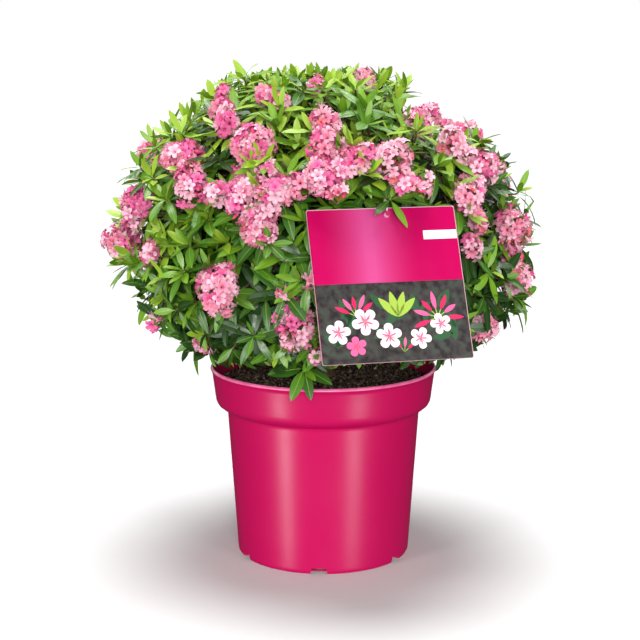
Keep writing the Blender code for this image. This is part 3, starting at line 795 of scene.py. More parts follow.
tips = [(pulled_in(place, tip_share(place, radius)), radius) for place, radius in first_tips()]
tips += [(dome_ring_point(a, h, SMALL_HEAD_SHARE), r) for a, h, r in SMALL_HEADS]
tips += back_heads([place for place, radius in tips if radius])
heads = [(place, radius) for place, radius in tips if radius]
fine_tips = more_tips(tips, FINE_TIPS, FINE_SHARE, 24, 11)
deep_tips = more_tips([(CENTRE, None)], DEEP_TIPS, DEEP_SHARE, 10, 12)
print(len(tips), "first tips,", len(heads), "flower heads,", len(fine_tips), "fine,", len(deep_tips), "deep")

# %% [markdown]
# ## Trunk, boughs and twigs
#
# A dwarf rhododendron forks just over the peat. Its old wood is grey-brown with fine lengthwise
# cracks, and its young twigs are green-brown. Curves with a bevel would give smooth wires, so
# each limb is a tube laid along its line in code, with its radius roughened by noise.

# %% Lines of the trunk and the boughs
PEAT_LEVEL = 0.1849
TRUNK_RINGS = [
    (-0.006, 0.0185), (0.000, 0.0152), (0.003, 0.0125), (0.008, 0.0102), (0.016, 0.0092), (0.026, 0.0086),
    (0.036, 0.0072), (0.041, 0.0045),
]
TRUNK_LEAN = (0.06, -0.03)
BOUGH_REACH = 0.082
BOUGH_THICK = 0.0031
BOUGH_THIN = 0.0023
CORE_LIMB_GAP = 0.014


def trunk_middle(height):
    """The trunk's middle at a height over its foot."""
    return Vector((TRUNK_LEAN[0] * height, TRUNK_LEAN[1] * height, PEAT_LEVEL + height))


def bough_line(number, steps=14):
    """The line of a mass's bough from inside the trunk to the foot of its mass."""
    name, direction = MASSES[number]
    tip = CENTRE + direction * BOUGH_REACH
    if number == 0:
        start = trunk_middle(0.034)
        facing = Vector((0.0, 0.0, 1.0))
    else:
        facing = Vector((direction.x, direction.y, 0.0)).normalized()
        start = trunk_middle(0.027 if number <= UPPER_COUNT else 0.015) + facing * 0.0045
    bend = start + (facing * 0.6 + Vector((0.0, 0.0, 0.8))) * (tip - start).length * 0.45
    return curve(start, bend, tip, steps)


def tube_points(line, radii, sides, rough=0.0):
    """Points of a tube along a line, ring by ring, its radius roughened along its length."""
    points = []
    ahead = (line[1] - line[0]).normalized()
    across = Vector((0.3, 0.2, 1.0)) if abs(ahead.z) < 0.9 else Vector((1.0, 0.0, 0.0))
    side = ahead.cross(across).normalized()
    for step, centre in enumerate(line):
        after = line[min(step + 1, len(line) - 1)]
        before = line[max(step - 1, 0)]
        along = (after - before).normalized()
        side = (ahead.rotation_difference(along) @ side).normalized()
        ahead = along
        other = along.cross(side)
        for corner in range(sides):
            turn = 2.0 * math.pi * corner / sides
            out = side * math.cos(turn) + other * math.sin(turn)
            radius = radii[step]
            if rough:
                crack = noise.noise(Vector((turn * 2.6, centre.z * 34.0, centre.x * 20.0)))
                lump = noise.noise(centre * 70.0)
                radius *= 1.0 + rough * (crack + 0.5 * lump)
            points.append(centre + out * radius)
    return points


def tube_faces(rings, sides, shift=0):
    """Faces of a tube, with both ends closed."""
    faces = []
    for row in range(rings - 1):
        for corner in range(sides):
            near = shift + row * sides + corner
            after = shift + row * sides + (corner + 1) % sides
            faces.append((near, after, after + sides, near + sides))
    faces.append(tuple(shift + corner for corner in reversed(range(sides))))
    faces.append(tuple(shift + (rings - 1) * sides + corner for corner in range(sides)))
    return faces


# %% Lay the bark
limb_points = []
limb_faces = []


def add_limb(line, radii, sides, rough):
    """Add one tube to the limbs."""
    shift = len(limb_points)
    limb_points.extend(tube_points(line, radii, sides, rough))
    limb_faces.extend(tube_faces(len(line), sides, shift))


def trunk_radius(height):
    """The trunk's radius at a height over its foot."""
    heights = [h for h, r in TRUNK_RINGS]
    return float(np.interp(height, heights, [r for h, r in TRUNK_RINGS]))


def core_middle(number, outer):
    """The middle of a mass, between its bough's tip and a share of the dome."""
    direction = MASSES[number][1]
    return (CENTRE + direction * (BOUGH_REACH + CORE_LIMB_GAP) + dome_point(direction, outer)) / 2.0


trunk_heights = np.linspace(TRUNK_RINGS[0][0], TRUNK_RINGS[-1][0], 40)
add_limb([trunk_middle(h) for h in trunk_heights], [trunk_radius(h) for h in trunk_heights], 40, 0.10)
for number in range(len(MASSES)):
    line = bough_line(number)
    line += between(line[14], core_middle(number, 0.76), (0.35, 0.7, 1.0))
    radii = [BOUGH_THICK + (BOUGH_THIN - BOUGH_THICK) * step / 14 for step in range(15)]
    radii[0] = 0.0042
    radii[1] = 0.0035
    radii += [0.0021, 0.0019, 0.0012]
    add_limb(line, radii, 14, 0.12)
limb_mesh = bpy.data.meshes.new("limbs")
limb_mesh.from_pydata(limb_points, [], limb_faces)
limbs = piece_of(limb_mesh, "limbs")
pick(limbs)
bpy.ops.object.shade_smooth_by_angle(angle=math.radians(60.0))

BARK_STOPS = [(0.34, (0.030, 0.018, 0.012)), (0.52, (0.105, 0.066, 0.042)), (0.72, (0.215, 0.165, 0.120))]
BARK_GRAIN = (120.0, 8.0, (1.0, 1.0, 0.22))
bark = grained_material("bark", BARK_STOPS[1][1], 0.88, 0.3, BARK_GRAIN, (0.9, 0.0008), stops=BARK_STOPS)
limbs.data.materials.append(bark)
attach(limbs, "root")
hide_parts("trunk", *[name.replace("foliage", "bough") for name, direction in MASSES])
print("limbs:", triangles(limbs), "triangles")

# %% [markdown]
# Every twig leaves the nearest wood of its own mass that lies further in, so the twigs branch
# as a shrub does and reach all tips. The wood so far is kept as a list of points for each mass.

# %% Grow the twigs
LOOP_MIDDLE = Vector((0.0050, 0.0, 0.0720))
LOOP_TWIG_RISE = 0.0042
# Thickness at the foot and at the tip, and steps along the line
FIRST_TWIG = (0.0017, 0.0011, 6)
FINE_TWIG = (0.0012, 0.0008, 5)
DEEP_TWIG = (0.0011, 0.0007, 4)
STRAY_TWIG = (0.0013, 0.0009, 5)
wood = []
for number in range(len(MASSES)):
    line = bough_line(number)
    middle = core_middle(number, 0.72 if number > UPPER_COUNT else 0.78)
    wood.append([np.array(point) for point in line[9:] + between(line[14], middle, (0.3, 0.6, 1.0))])

twig_lines = []


def grow_twig(tip, axis, thick, thin, steps):
    """Lay one twig from its mass's wood to a tip, and add it to that wood."""
    number = owner_of(tip)
    points = np.array(wood[number])
    away = np.linalg.norm(points - np.array(tip), axis=1)
    out = np.linalg.norm(points - np.array(CENTRE), axis=1)
    limit = (tip - CENTRE).length - 0.012
    away = np.where(out < limit, away, away + 1.0)
    start = Vector(points[int(away.argmin())])
    span = (tip - start).length
    line = curve(start, tip - axis * span * 0.42, tip, steps)
    for step, point in enumerate(line):
        line[step] = point + noise.noise_vector(point * 46.0) * 0.0022 * math.sin(step / steps * math.pi)
    twig_lines.append((number, line, thick, thin))
    wood[number] += [np.array(point) for point in line[1:-1]]


first_axes = []
for place, radius in tips:
    axis = (dome_normal(place) * 0.85 + Vector((0.0, 0.0, 1.0)) * 0.35).normalized()
    first_axes.append(axis)
    grow_twig(place - axis * (radius * 0.75 if radius else 0.0), axis, *FIRST_TWIG)
fine_axes = []
chance = random.Random(31)
for place in fine_tips:
    sway = chance_vector(chance, 0.22, 0.22, 0.22)
    axis = (dome_normal(place) * 0.75 + Vector((0.0, 0.0, 1.0)) * 0.38 + sway).normalized()
    fine_axes.append(axis)
    grow_twig(place, axis, *FINE_TWIG)
deep_axes = []
for place in deep_tips:
    sway = chance_vector(chance, 0.45, 0.45, 0.35)
    axis = (dome_normal(place) * 0.7 + Vector((0.0, 0.0, 1.0)) * 0.5 + sway).normalized()
    deep_axes.append(axis)
    grow_twig(place, axis, *DEEP_TWIG)

# The twig that carries the label lies in its loop, and starts at the nearest wood further in
label_over = LABEL @ (LOOP_MIDDLE + Vector((0.0, 0.0, LOOP_TWIG_RISE)))
label_run = (LABEL.to_3x3() @ Vector((0.80, -0.55, 0.22))).normalized()
label_tip = label_over + label_run * 0.014
label_root = label_over - label_run * 0.050
label_mass = owner_of(label_root)
label_reach = (label_root - CENTRE).length
further_in = [Vector(point) for point in wood[label_mass] if (Vector(point) - CENTRE).length <= label_reach]
inner = min(further_in, key=lambda point: (point - label_root).length)
label_line = between(inner, label_root, (0.0, 0.5)) + between(label_root, label_tip, (0.0, 0.35, 0.7, 1.0))
twig_lines.append((label_mass, label_line, 0.0013, 0.0010))
print(len(twig_lines), "twigs")

# %% [markdown]
# ## The leaves
#
# A dwarf rhododendron's leaf is a stiff, glossy, narrow ellipse about four centimetres long, with
# a sunk pale midrib and edges that roll under. It could be a flat card with a picture on it, but
# that breaks up near the camera. One leaf is modelled from a grid instead: its points are drawn in
# to the outline, and the strip along its middle becomes the midrib. Bend, fold, length and
# width are then given to each copy.

# %% Model one leaf and a plainer one for the dark inside
LEAF_ROWS = [0.0, 0.09, 0.15, 0.25, 0.38, 0.52, 0.66, 0.80, 0.92, 1.0]
LEAF_COLUMNS = [-1.0, -0.58, -0.07, 0.07, 0.58, 1.0]


def leaf_half_width(along):
    """Half the width of the outline, as a share of the widest place."""
    stalk = 0.085
    if along < 0.10:
        return stalk
    share = (along - 0.10) / 0.90
    blade = math.sin(math.pi * share ** 0.92) ** 0.72 if 0.0 < share < 1.0 else 0.0
    return max(blade, stalk * (1.0 - share))


def model_leaf(name, rows, columns, rib):
    """A grid drawn in to a leaf's outline, one long and one wide, its tip merged to a point."""
    leaf, across, along = plain_grid(len(columns), len(rows))
    for vert in leaf.data.vertices:
        side = columns[across.index(round(vert.co.x, 4))]
        row = rows[along.index(round(vert.co.y, 4))]
        half = leaf_half_width(row)
        if abs(side) <= 0.2 and half >= 0.2:
            side *= min(1.0, 0.35 + 0.65 * (1.0 - row)) / max(half, 0.3)
        vert.co = (side * half * 0.5, row, 0.0)
    for face in leaf.data.polygons:
        middle = sum(leaf.data.vertices[corner].co.x for corner in face.vertices) / len(face.vertices)
        face.material_index = 1 if rib and abs(middle) < 0.004 else 0
    clean_mesh(leaf, 0.0005, outward=False)
    print(name, len(across), "columns,", len(along), "rows,", triangles(leaf), "triangles")
    return Pattern(leaf)


fine_leaf = model_leaf("fine_leaf", LEAF_ROWS, LEAF_COLUMNS, True)
young_leaf = model_leaf(
    "young_leaf", [0.0, 0.12, 0.24, 0.44, 0.64, 0.84, 1.0], [-1.0, -0.09, 0.09, 1.0], True
)
deep_leaf = model_leaf("deep_leaf", [0.0, 0.12, 0.35, 0.65, 0.88, 1.0], [-1.0, 0.0, 1.0], False)

# %% Give every copy its bend, fold, length and width


def unit(vectors):
    """Vectors of length one."""
    return vectors / np.maximum(np.linalg.norm(vectors, axis=-1, keepdims=True), 1e-9)


def lay_leaves(pattern, leaves):
    """Points of every leaf from its root, direction, upper side and measures."""
    roots = leaves["root"][:, None, :]
    ahead = unit(leaves["ahead"])
    up = unit(leaves["up"] - ahead * (leaves["up"] * ahead).sum(axis=1, keepdims=True))
    side = np.cross(ahead, up)[:, None, :]
    ahead = ahead[:, None, :]
    up = up[:, None, :]
    x = pattern.points[None, :, 0:1]
    y = pattern.points[None, :, 1:2]
    length = leaves["length"][:, None, None]
    width = leaves["width"][:, None, None]
    bend = leaves["bend"][:, None, None] * np.clip(y / 0.12, 0.0, 1.0)
    bend = np.where(np.abs(bend) < 0.02, 0.02, bend)
    turn = bend * y
    forth = np.sin(turn) / bend
    drop = (np.cos(turn) - 1.0) / bend
    facing = up * np.cos(turn) + ahead * np.sin(turn)
    middle = roots + length * (ahead * forth + up * drop)
    out = np.abs(x) * 2.0
    lift = leaves["fold"][:, None, None] * out - leaves["roll"][:, None, None] * out ** 3
    wave = leaves["wave"][:, None, None] * np.sin(y * 9.0 + leaves["phase"][:, None, None]) * out * np.sign(x)
    return middle + side * (x * width) + facing * ((lift + wave) * width * 0.5)


class LeafList:
    """Measures of leaves, gathered one whorl after another."""

    def __init__(self):
        self.rows = []

    def add(self, root, ahead, up, length, width, bend, fold, roll, wave, phase, mass, tone):
        self.rows.append((*root, *ahead, *up, length, width, bend, fold, roll, wave, phase, mass, tone))

    def table(self):
        rows = np.array(self.rows)
        table = {"root": rows[:, 0:3], "ahead": rows[:, 3:6], "up": rows[:, 6:9]}
        for column, measure in enumerate(("length", "width", "bend", "fold", "roll", "wave", "phase")):
            table[measure] = rows[:, 9 + column]
        table["mass"] = rows[:, 16].astype(int)
        table["tone"] = rows[:, 17].astype(int)
        return table


# %% [markdown]
# Leaves stand in whorls at the twig tips: an outer tier that spreads wide and hangs a little, and
# an inner tier of younger leaves that still stands up, a shade or two lighter. Each whorl takes one
# shade of green by its height and side: lighter high up and towards the left, where the lights
# fall, and darker low down. That is painted light and shade over the lime of new growth at the
# top. The leaves deep in the crown are painted dark to near black, as painted shade. Here and
# there a leaf takes the next shade.

# %% Shades of green, dealt out by whorl


def shade(red, green, blue):
    """A colour given as a painter mixes it on screen, from 0 to 255, as light values."""
    values = []
    for level in (red, green, blue):
        share = level / 255.0
        values.append(share / 12.92 if share <= 0.04045 else ((share + 0.055) / 1.055) ** 2.4)
    return tuple(values)


# Greens from near black to lime: the leaves' own colours, also used as painted light and shade
LEAF_SHADES = [
    ("leaf_deep", shade(20, 40, 14), 0.42),
    ("leaf_dark", shade(34, 70, 20), 0.35),
    ("leaf_green", shade(54, 102, 26), 0.34),
    ("leaf_fresh", shade(82, 134, 28), 0.36),
    ("leaf_bright", shade(114, 162, 32), 0.38),
    ("leaf_lime", shade(152, 188, 44), 0.42),
    ("leaf_midrib", shade(146, 174, 70), 0.48),
    ("leaf_midrib_dark", shade(74, 106, 36), 0.48),
    ("bud_scale", shade(132, 150, 62), 0.45),
]
leaf_materials = []
for name, colour, roughness in LEAF_SHADES:
    spread = (roughness - 0.06, roughness + 0.10)
    green = grained_material(name, colour, roughness, 0.75, (300.0, 3.0), (0.22, 0.0006), spread)
    leaf_materials.append(green)
DEEP, DARK, GREEN, FRESH, BRIGHT, LIME, RIB, RIB_DARK, SCALE = range(9)

# %% Grow the whorls
LEAF_LENGTH = 0.0370
LEAF_WIDTH = 0.0098
YOUNG_LENGTH = 0.0245
YOUNG_WIDTH = 0.0064
SHOOT_LENGTH = 0.0270
SHOOT_WIDTH = 0.0072
outer_leaves = LeafList()
young_leaves = LeafList()
inner_leaves = LeafList()
bud_places = []


def add_whorl(chance, leaves, centre, axis, count, splay, length, width, tone, mass, bend=(0.25, 0.9)):
    """One tier of leaves round a twig's end."""
    side = axis.cross(Vector((0.31, 0.77, 0.22))).normalized()
    other = axis.cross(side)
    first = chance.uniform(0.0, 6.283)
    for number in range(count):
        turn = first + 6.283 * number / count + chance.gauss(0.0, 0.16)
        open_angle = math.radians(chance.uniform(*splay))
        out = side * math.cos(turn) + other * math.sin(turn)
        ahead = axis * math.cos(open_angle) + out * math.sin(open_angle)
        ahead = (ahead + Vector((0.0, 0.0, -0.10))).normalized()
        up = axis + Vector((0.0, 0.0, 0.35)) + Vector((chance.gauss(0, 0.16), chance.gauss(0, 0.16), 0.0))
        root = centre - axis * chance.uniform(0.0, 0.006)
        size = chance.uniform(0.80, 1.12)
        shift = chance.random()
        own = tone
        if leaves is not inner_leaves:
            if shift < 0.16:
                own = max(DARK, tone - 1)
            elif shift > 0.88:
                own = min(LIME, tone + 1)
        broad = width * size * chance.uniform(0.90, 1.12)
        curl = chance.uniform(*bend)
        fold = chance.uniform(0.12, 0.42)
        roll = chance.uniform(0.10, 0.34)
        wave = chance.uniform(0.0, 0.10)
        phase = chance.uniform(0.0, 6.28)
        leaves.add(root, ahead, up, length * size, broad, curl, fold, roll, wave, phase, mass, own)


def add_young(chance, centre, axis, tone, mass):
    """The upright inner tier of a tip: short narrow leaves, one or two shades lighter."""
    young = min(LIME, tone + (2 if chance.random() < 0.45 else 1))
    count = 6 if tone >= FRESH else 4
    foot = centre + axis * 0.002
    add_whorl(
        chance, young_leaves, foot, axis, count, (14, 58), YOUNG_LENGTH, YOUNG_WIDTH, young, mass, (-0.3, 0.5)
    )


def add_leaf(leaves, root, tip, up, width, bend, tone, mass):
    """One leaf, from its root to where its tip should be."""
    run = Vector(tip) - Vector(root)
    ahead = run.normalized() + Vector(up).normalized() * bend * 0.5
    leaves.add(root, ahead.normalized(), up, run.length * 1.03, width, bend, 0.25, 0.2, 0.04, 0.5, mass, tone)


def tone_of(chance, place):
    """A shade for a whorl: painted light and shade, lighter high up and towards the left, darker low down."""
    height = (place.z - LOWEST_LEAF) / 0.30
    # Painted light and shade: the green is lighter with height and towards the left, where the lights fall
    light = 0.10 + 0.70 * height - 0.20 * place.x / CROWN_RADIUS + chance.gauss(0.0, 0.24)
    for limit, tone in ((0.16, DARK), (0.42, GREEN), (0.66, FRESH), (0.86, BRIGHT)):
        if light < limit:
            return tone
    return LIME


chance = random.Random(77)
for (place, radius), axis in zip(tips, first_axes):
    mass = owner_of(place)
    tone = tone_of(chance, place)
    if radius:
        foot = place - axis * radius * 0.80
        for shoot in range(2 if radius > 0.015 else 1):
            beside = axis.cross(chance_vector(chance, 1, 1, 1)).normalized()
            add_whorl(
                chance, young_leaves, place + beside * radius * 1.02 - axis * radius * 0.15,
                (axis + beside * 0.45).normalized(), 5, (16, 66), SHOOT_LENGTH, SHOOT_WIDTH,
                min(LIME, tone + 1), mass, (-0.2, 0.5),
            )
        add_whorl(chance, outer_leaves, foot, axis, 8, (56, 92), LEAF_LENGTH * 1.02, LEAF_WIDTH, tone, mass)
    else:
        add_whorl(chance, outer_leaves, place, axis, 6, (50, 88), LEAF_LENGTH, LEAF_WIDTH, tone, mass)
        add_young(chance, place, axis, tone, mass)
        bud_places.append((place, axis, mass))
for place, axis in zip(fine_tips, fine_axes):
    mass = owner_of(place)
    tone = tone_of(chance, place)
    count = chance.choice((5, 6))
    add_whorl(
        chance, outer_leaves, place, axis, count, (46, 90), LEAF_LENGTH * 0.95, LEAF_WIDTH * 0.95, tone, mass
    )
    if chance.random() < 0.85:
        add_young(chance, place, axis, tone, mass)
    else:
        bud_places.append((place, axis, mass))
for place, axis in zip(deep_tips, deep_axes):
    # Leaves deep in the crown are painted dark to near black: painted shade
    tone = DEEP if chance.random() < 0.7 else DARK
    mass = owner_of(place)
    add_whorl(chance, inner_leaves, place, axis, 6, (45, 95), LEAF_LENGTH, LEAF_WIDTH * 1.05, tone, mass)
print(len(outer_leaves.rows), "old leaves,", len(young_leaves.rows), "young ones")
print(len(inner_leaves.rows), "leaves inside")

# %% [markdown]
# A rule can't give the few leaves that everyone notices, so those are laid one by one: the tuft
# that carries the label, with one leaf over the card, the tuft that hangs over the pot's rim,
# and some shoots that stray out of the dome and break up its outline.

# %% Lay the tufts and the stray shoots one by one
hand_leaves = LeafList()
LABEL_TUFT_ROOT = LABEL @ Vector((0.0085, -0.0048, 0.0765))
LABEL_TUFT_UP = LABEL.to_3x3() @ Vector((0.0, -1.0, 0.55))
# Where each leaf's tip is in the label's own directions, its width and its shade
LABEL_TUFT = [
    ((0.019, -0.0110, 0.0480), 0.0072, BRIGHT), ((0.035, -0.0130, 0.0790), 0.0090, FRESH),
    ((0.030, -0.0150, 0.0690), 0.0086, GREEN), ((-0.009, -0.0120, 0.0600), 0.0080, GREEN),
    ((-0.017, -0.0100, 0.0850), 0.0090, FRESH), ((0.019, -0.0060, 0.0980), 0.0080, BRIGHT),
    ((-0.002, -0.0070, 0.0980), 0.0076, BRIGHT),
]
for tip, width, tone in LABEL_TUFT:
    add_leaf(hand_leaves, LABEL_TUFT_ROOT, LABEL @ Vector(tip), LABEL_TUFT_UP, width, 0.30, tone, label_mass)
RIM_TUFT_ROOT = Vector((-0.0185, -0.1130, 0.2150))
# Where each leaf's tip is, its width and its shade
RIM_TUFT = [
    ((-0.0306, -0.1310, 0.1880), 0.0118, FRESH), ((-0.0121, -0.1300, 0.1885), 0.0104, GREEN),
    ((-0.0520, -0.1270, 0.2125), 0.0140, GREEN), ((0.0079, -0.1290, 0.2030), 0.0108, GREEN),
    ((-0.0400, -0.1260, 0.2330), 0.0110, DARK), ((-0.0060, -0.1310, 0.2260), 0.0090, BRIGHT),
    ((-0.0078, -0.1300, 0.2070), 0.0070, BRIGHT),
]
# Shoots that stray from the dome: place, direction, leaves, shade
STRAY_SHOOTS = [
    ((0.1880, -0.0300, 0.2690), (0.95, -0.20, -0.04), 7, FRESH),
    ((0.1940, -0.0200, 0.2760), (0.92, -0.25, 0.14), 6, BRIGHT),
    ((-0.1295, -0.0300, 0.2260), (-0.80, -0.35, -0.40), 7, GREEN),
    ((-0.1120, -0.0560, 0.2220), (-0.35, -0.45, -0.75), 6, DARK),
    ((0.1216, -0.0300, 0.2200), (0.55, -0.30, -0.60), 6, GREEN),
    ((-0.0780, -0.0100, 0.4850), (-0.35, -0.20, 0.85), 7, BRIGHT),
    ((0.0690, -0.0100, 0.4640), (0.25, -0.20, 0.90), 7, BRIGHT),
    ((-0.1980, -0.0200, 0.3010), (-0.90, -0.30, 0.10), 6, FRESH),
    ((0.1480, -0.0300, 0.4230), (0.80, -0.20, 0.50), 6, FRESH),
]
stray_chance = random.Random(8)
for place, direction, count, tone in STRAY_SHOOTS:
    place = Vector(place)
    axis = Vector(direction).normalized()
    mass = owner_of(place)
    lighter = min(LIME, tone + 1)
    grow_twig(place, axis, *STRAY_TWIG)
    add_whorl(stray_chance, hand_leaves, place, axis, count, (40, 84), LEAF_LENGTH, LEAF_WIDTH, tone, mass)
    add_whorl(stray_chance, hand_leaves, place, axis, 4, (12, 44), YOUNG_LENGTH, 0.0068, lighter, mass)
rim_mass = owner_of(RIM_TUFT_ROOT)
for tip, width, tone in RIM_TUFT:
    add_leaf(hand_leaves, RIM_TUFT_ROOT, tip, (0.0, -0.8, 0.6), width, 0.45, tone, rim_mass)
rim_wood = min(wood[rim_mass], key=lambda point: (Vector(point) - RIM_TUFT_ROOT).length)
twig_lines.append((rim_mass, between(Vector(rim_wood), RIM_TUFT_ROOT, (0.0, 0.35, 0.7, 1.0)), 0.0013, 0.0009))
print(len(hand_leaves.rows), "leaves by hand")

# %% Make a mesh of each mass's twigs
TWIG_SIDES = 5
YOUNG_STOPS = [(0.35, (0.075, 0.045, 0.022)), (0.55, (0.150, 0.110, 0.045)), (0.72, (0.190, 0.200, 0.075))]
YOUNG_GRAIN = (240.0, 5.0, (1.0, 1.0, 0.4))
young_bark = grained_material(
    "young_bark", (0.150, 0.115, 0.050), 0.72, 0.35, YOUNG_GRAIN, (0.5, 0.0004), stops=YOUNG_STOPS
)
twig_total = 0
for number, (name, direction) in enumerate(MASSES):
    points = []
    faces = []
    for owner, line, thick, thin in twig_lines:
        if owner == number:
            radii = [thick + (thin - thick) * step / (len(line) - 1) for step in range(len(line))]
            faces.extend(tube_faces(len(line), TWIG_SIDES, len(points)))
            points.extend(tube_points(line, radii, TWIG_SIDES, 0.08))
    mesh = bpy.data.meshes.new(name.replace("foliage", "twigs"))
    mesh.from_pydata(points, [], faces)
    for face in mesh.polygons:
        face.use_smooth = True
    mesh.materials.append(young_bark)
    twigs = piece_of(mesh, mesh.name)
    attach(twigs, "root")
    twig_total += triangles(twigs)
print("twigs:", twig_total, "triangles")

# %% [markdown]
# A few leaves have to give way: none may cut through the label or the pot, cover a flower, or
# stand out past the dome that the solids keep.

# %% Lay the leaves and clear their places
label_turn = np.array(LABEL.to_3x3())
LABEL_MARGIN = 0.003
RIM_HEIGHT = 0.1975
RIM_RADIUS = 0.1185
LOWEST_POINT = 0.1860
PEAT_VIEW_HEIGHT = 0.2205
PEAT_VIEW_HALF_WIDTH = 0.112
FLOWER_ROOM = 0.66
SLACK = 0.02
head_places = np.array([place[:] for place, radius in heads])
head_radii = np.array([radius for place, radius in heads])


def clear_leaves(points, edges):
    """Which leaves keep clear of label, pot, flowers and dome."""
    x, y, z = points[..., 0], points[..., 1], points[..., 2]
    across, deep, up = np.moveaxis((points - np.array(LABEL_CENTRE)) @ label_turn, -1, 0)
    beside = np.abs(across) > LABEL_WIDE / 2.0 + LABEL_MARGIN
    above = np.abs(up) > LABEL_HIGH / 2.0 + LABEL_MARGIN
    before = ~beside & ~above & (deep < 0.0018) & (deep > -0.05)
    sunk = (z < RIM_HEIGHT) & (np.hypot(x, y) < RIM_RADIUS)
    low = z < LOWEST_POINT
    over_peat = (z < PEAT_VIEW_HEIGHT) & (y < -0.05) & (np.abs(x) < PEAT_VIEW_HALF_WIDTH)
    past = dome_shares(points) > edges[:, None] + SLACK
    keep = ~(before | sunk | low | over_peat | past).any(axis=1)
    for place, radius in zip(head_places, head_radii):
        near = np.linalg.norm(points - place, axis=2) < radius * FLOWER_ROOM
        keep &= ~near.any(axis=1)
    return keep


def laid(pattern, leaf_list):
    """The table and points of the leaves that stay, shortened where they stood past the dome."""
    table = leaf_list.table()
    points = lay_leaves(pattern, table)
    ragged = np.random.default_rng(3).uniform(0.95, 1.0, len(points))
    edges = np.minimum(reach(points[:, -1]) * 1.01, 1.0) * ragged
    far = dome_shares(points).max(axis=1) / edges
    table["length"] = table["length"] * np.where(far > 1.0, np.clip(1.0 - (far - 1.0) * 5.0, 0.50, 1.0), 1.0)
    points = lay_leaves(pattern, table)
    keep = clear_leaves(points, edges)
    return {key: value[keep] for key, value in table.items()}, points[keep]


outer_table, outer_points = laid(fine_leaf, outer_leaves)
young_table, young_points = laid(young_leaf, young_leaves)
inner_table, inner_points = laid(deep_leaf, inner_leaves)
hand_table = hand_leaves.table()
hand_points = lay_leaves(fine_leaf, hand_table)
print(len(outer_points), len(young_points), "and", len(inner_points), "leaves stay")

deselect_all()
bpy.ops.mesh.primitive_uv_sphere_add(segments=6, ring_count=5, radius=1.0)
bud_model = bpy.context.object
for vert in bud_model.data.vertices:
    vert.co.z *= 1.0 if vert.co.z < 0.0 else 1.7
    slim = 1.0 if vert.co.z < 0.9 else 0.6
    vert.co.x *= slim
    vert.co.y *= slim
bud_scale = Pattern(bud_model)
foliage_total = 0


def leaf_batch(pattern, table, points, number):
    """The leaves of one mass with the material number of each face."""
    mine = table["mass"] == number
    tone = table["tone"][mine][:, None]
    # Leaves painted dark for shade also get the dark midrib
    rib = np.where(tone >= GREEN, RIB, RIB_DARK)
    return pattern, points[mine], np.where(pattern.slots[None, :] == 1, rib, tone)


for number, (name, direction) in enumerate(MASSES):
    buds = []
    for place, axis, mass in bud_places:
        if mass == number:
            size = np.array((0.0021, 0.0021, 0.0036)) * random.Random(int(place.x * 1e6)).uniform(0.8, 1.2)
            buds.append((bud_scale.points * size) @ turn_to(axis, 0.0).T + np.array(place + axis * 0.002))
    batches = [
        leaf_batch(fine_leaf, outer_table, outer_points, number),
        leaf_batch(fine_leaf, hand_table, hand_points, number),
        leaf_batch(young_leaf, young_table, young_points, number),
        leaf_batch(deep_leaf, inner_table, inner_points, number),
        (bud_scale, np.array(buds), np.full((len(buds), len(bud_scale.faces)), SCALE)),
    ]
    leaves = mesh_from_copies(name.replace("foliage", "leaves"), batches, leaf_materials)
    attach(leaves, "root")
    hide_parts(name)
    foliage_total += triangles(leaves)
print("leaves:", foliage_total, "triangles")

# %% [markdown]
# ## The flowers
#
# Each truss is a dome of small funnel flowers, four on the slightest and several dozen on the
# widest, each with five pointed lobes, a salmon throat and fine stamens, and among them some deep
# pink buds. One petal is modelled from a grid and repeated five times round, and its strips become
# pale edge, pink middle and throat. A wide open and a half open flower come from the same grid
# with two different sections.

# %% Model the flowers
PETAL_OPEN = [
    (0.0009, 0.0000, 1.00), (0.0014, 0.0040, 1.00), (0.0027, 0.0066, 1.00), (0.0046, 0.0080, 0.97),
    (0.0064, 0.0084, 0.74), (0.0080, 0.0080, 0.40), (0.0091, 0.0072, 0.00),
]
PETAL_HALF = [
    (0.0009, 0.0000, 1.00), (0.0013, 0.0042, 1.00), (0.0023, 0.0074, 1.00), (0.0036, 0.0096, 0.90),
    (0.0049, 0.0112, 0.66), (0.0058, 0.0124, 0.34), (0.0062, 0.0131, 0.00),
]
PALE, PINK, ROSE, THROAT, FLOWER_BUD, STAMEN, ANTHER, PEDICEL, SALMON, HOT = range(10)


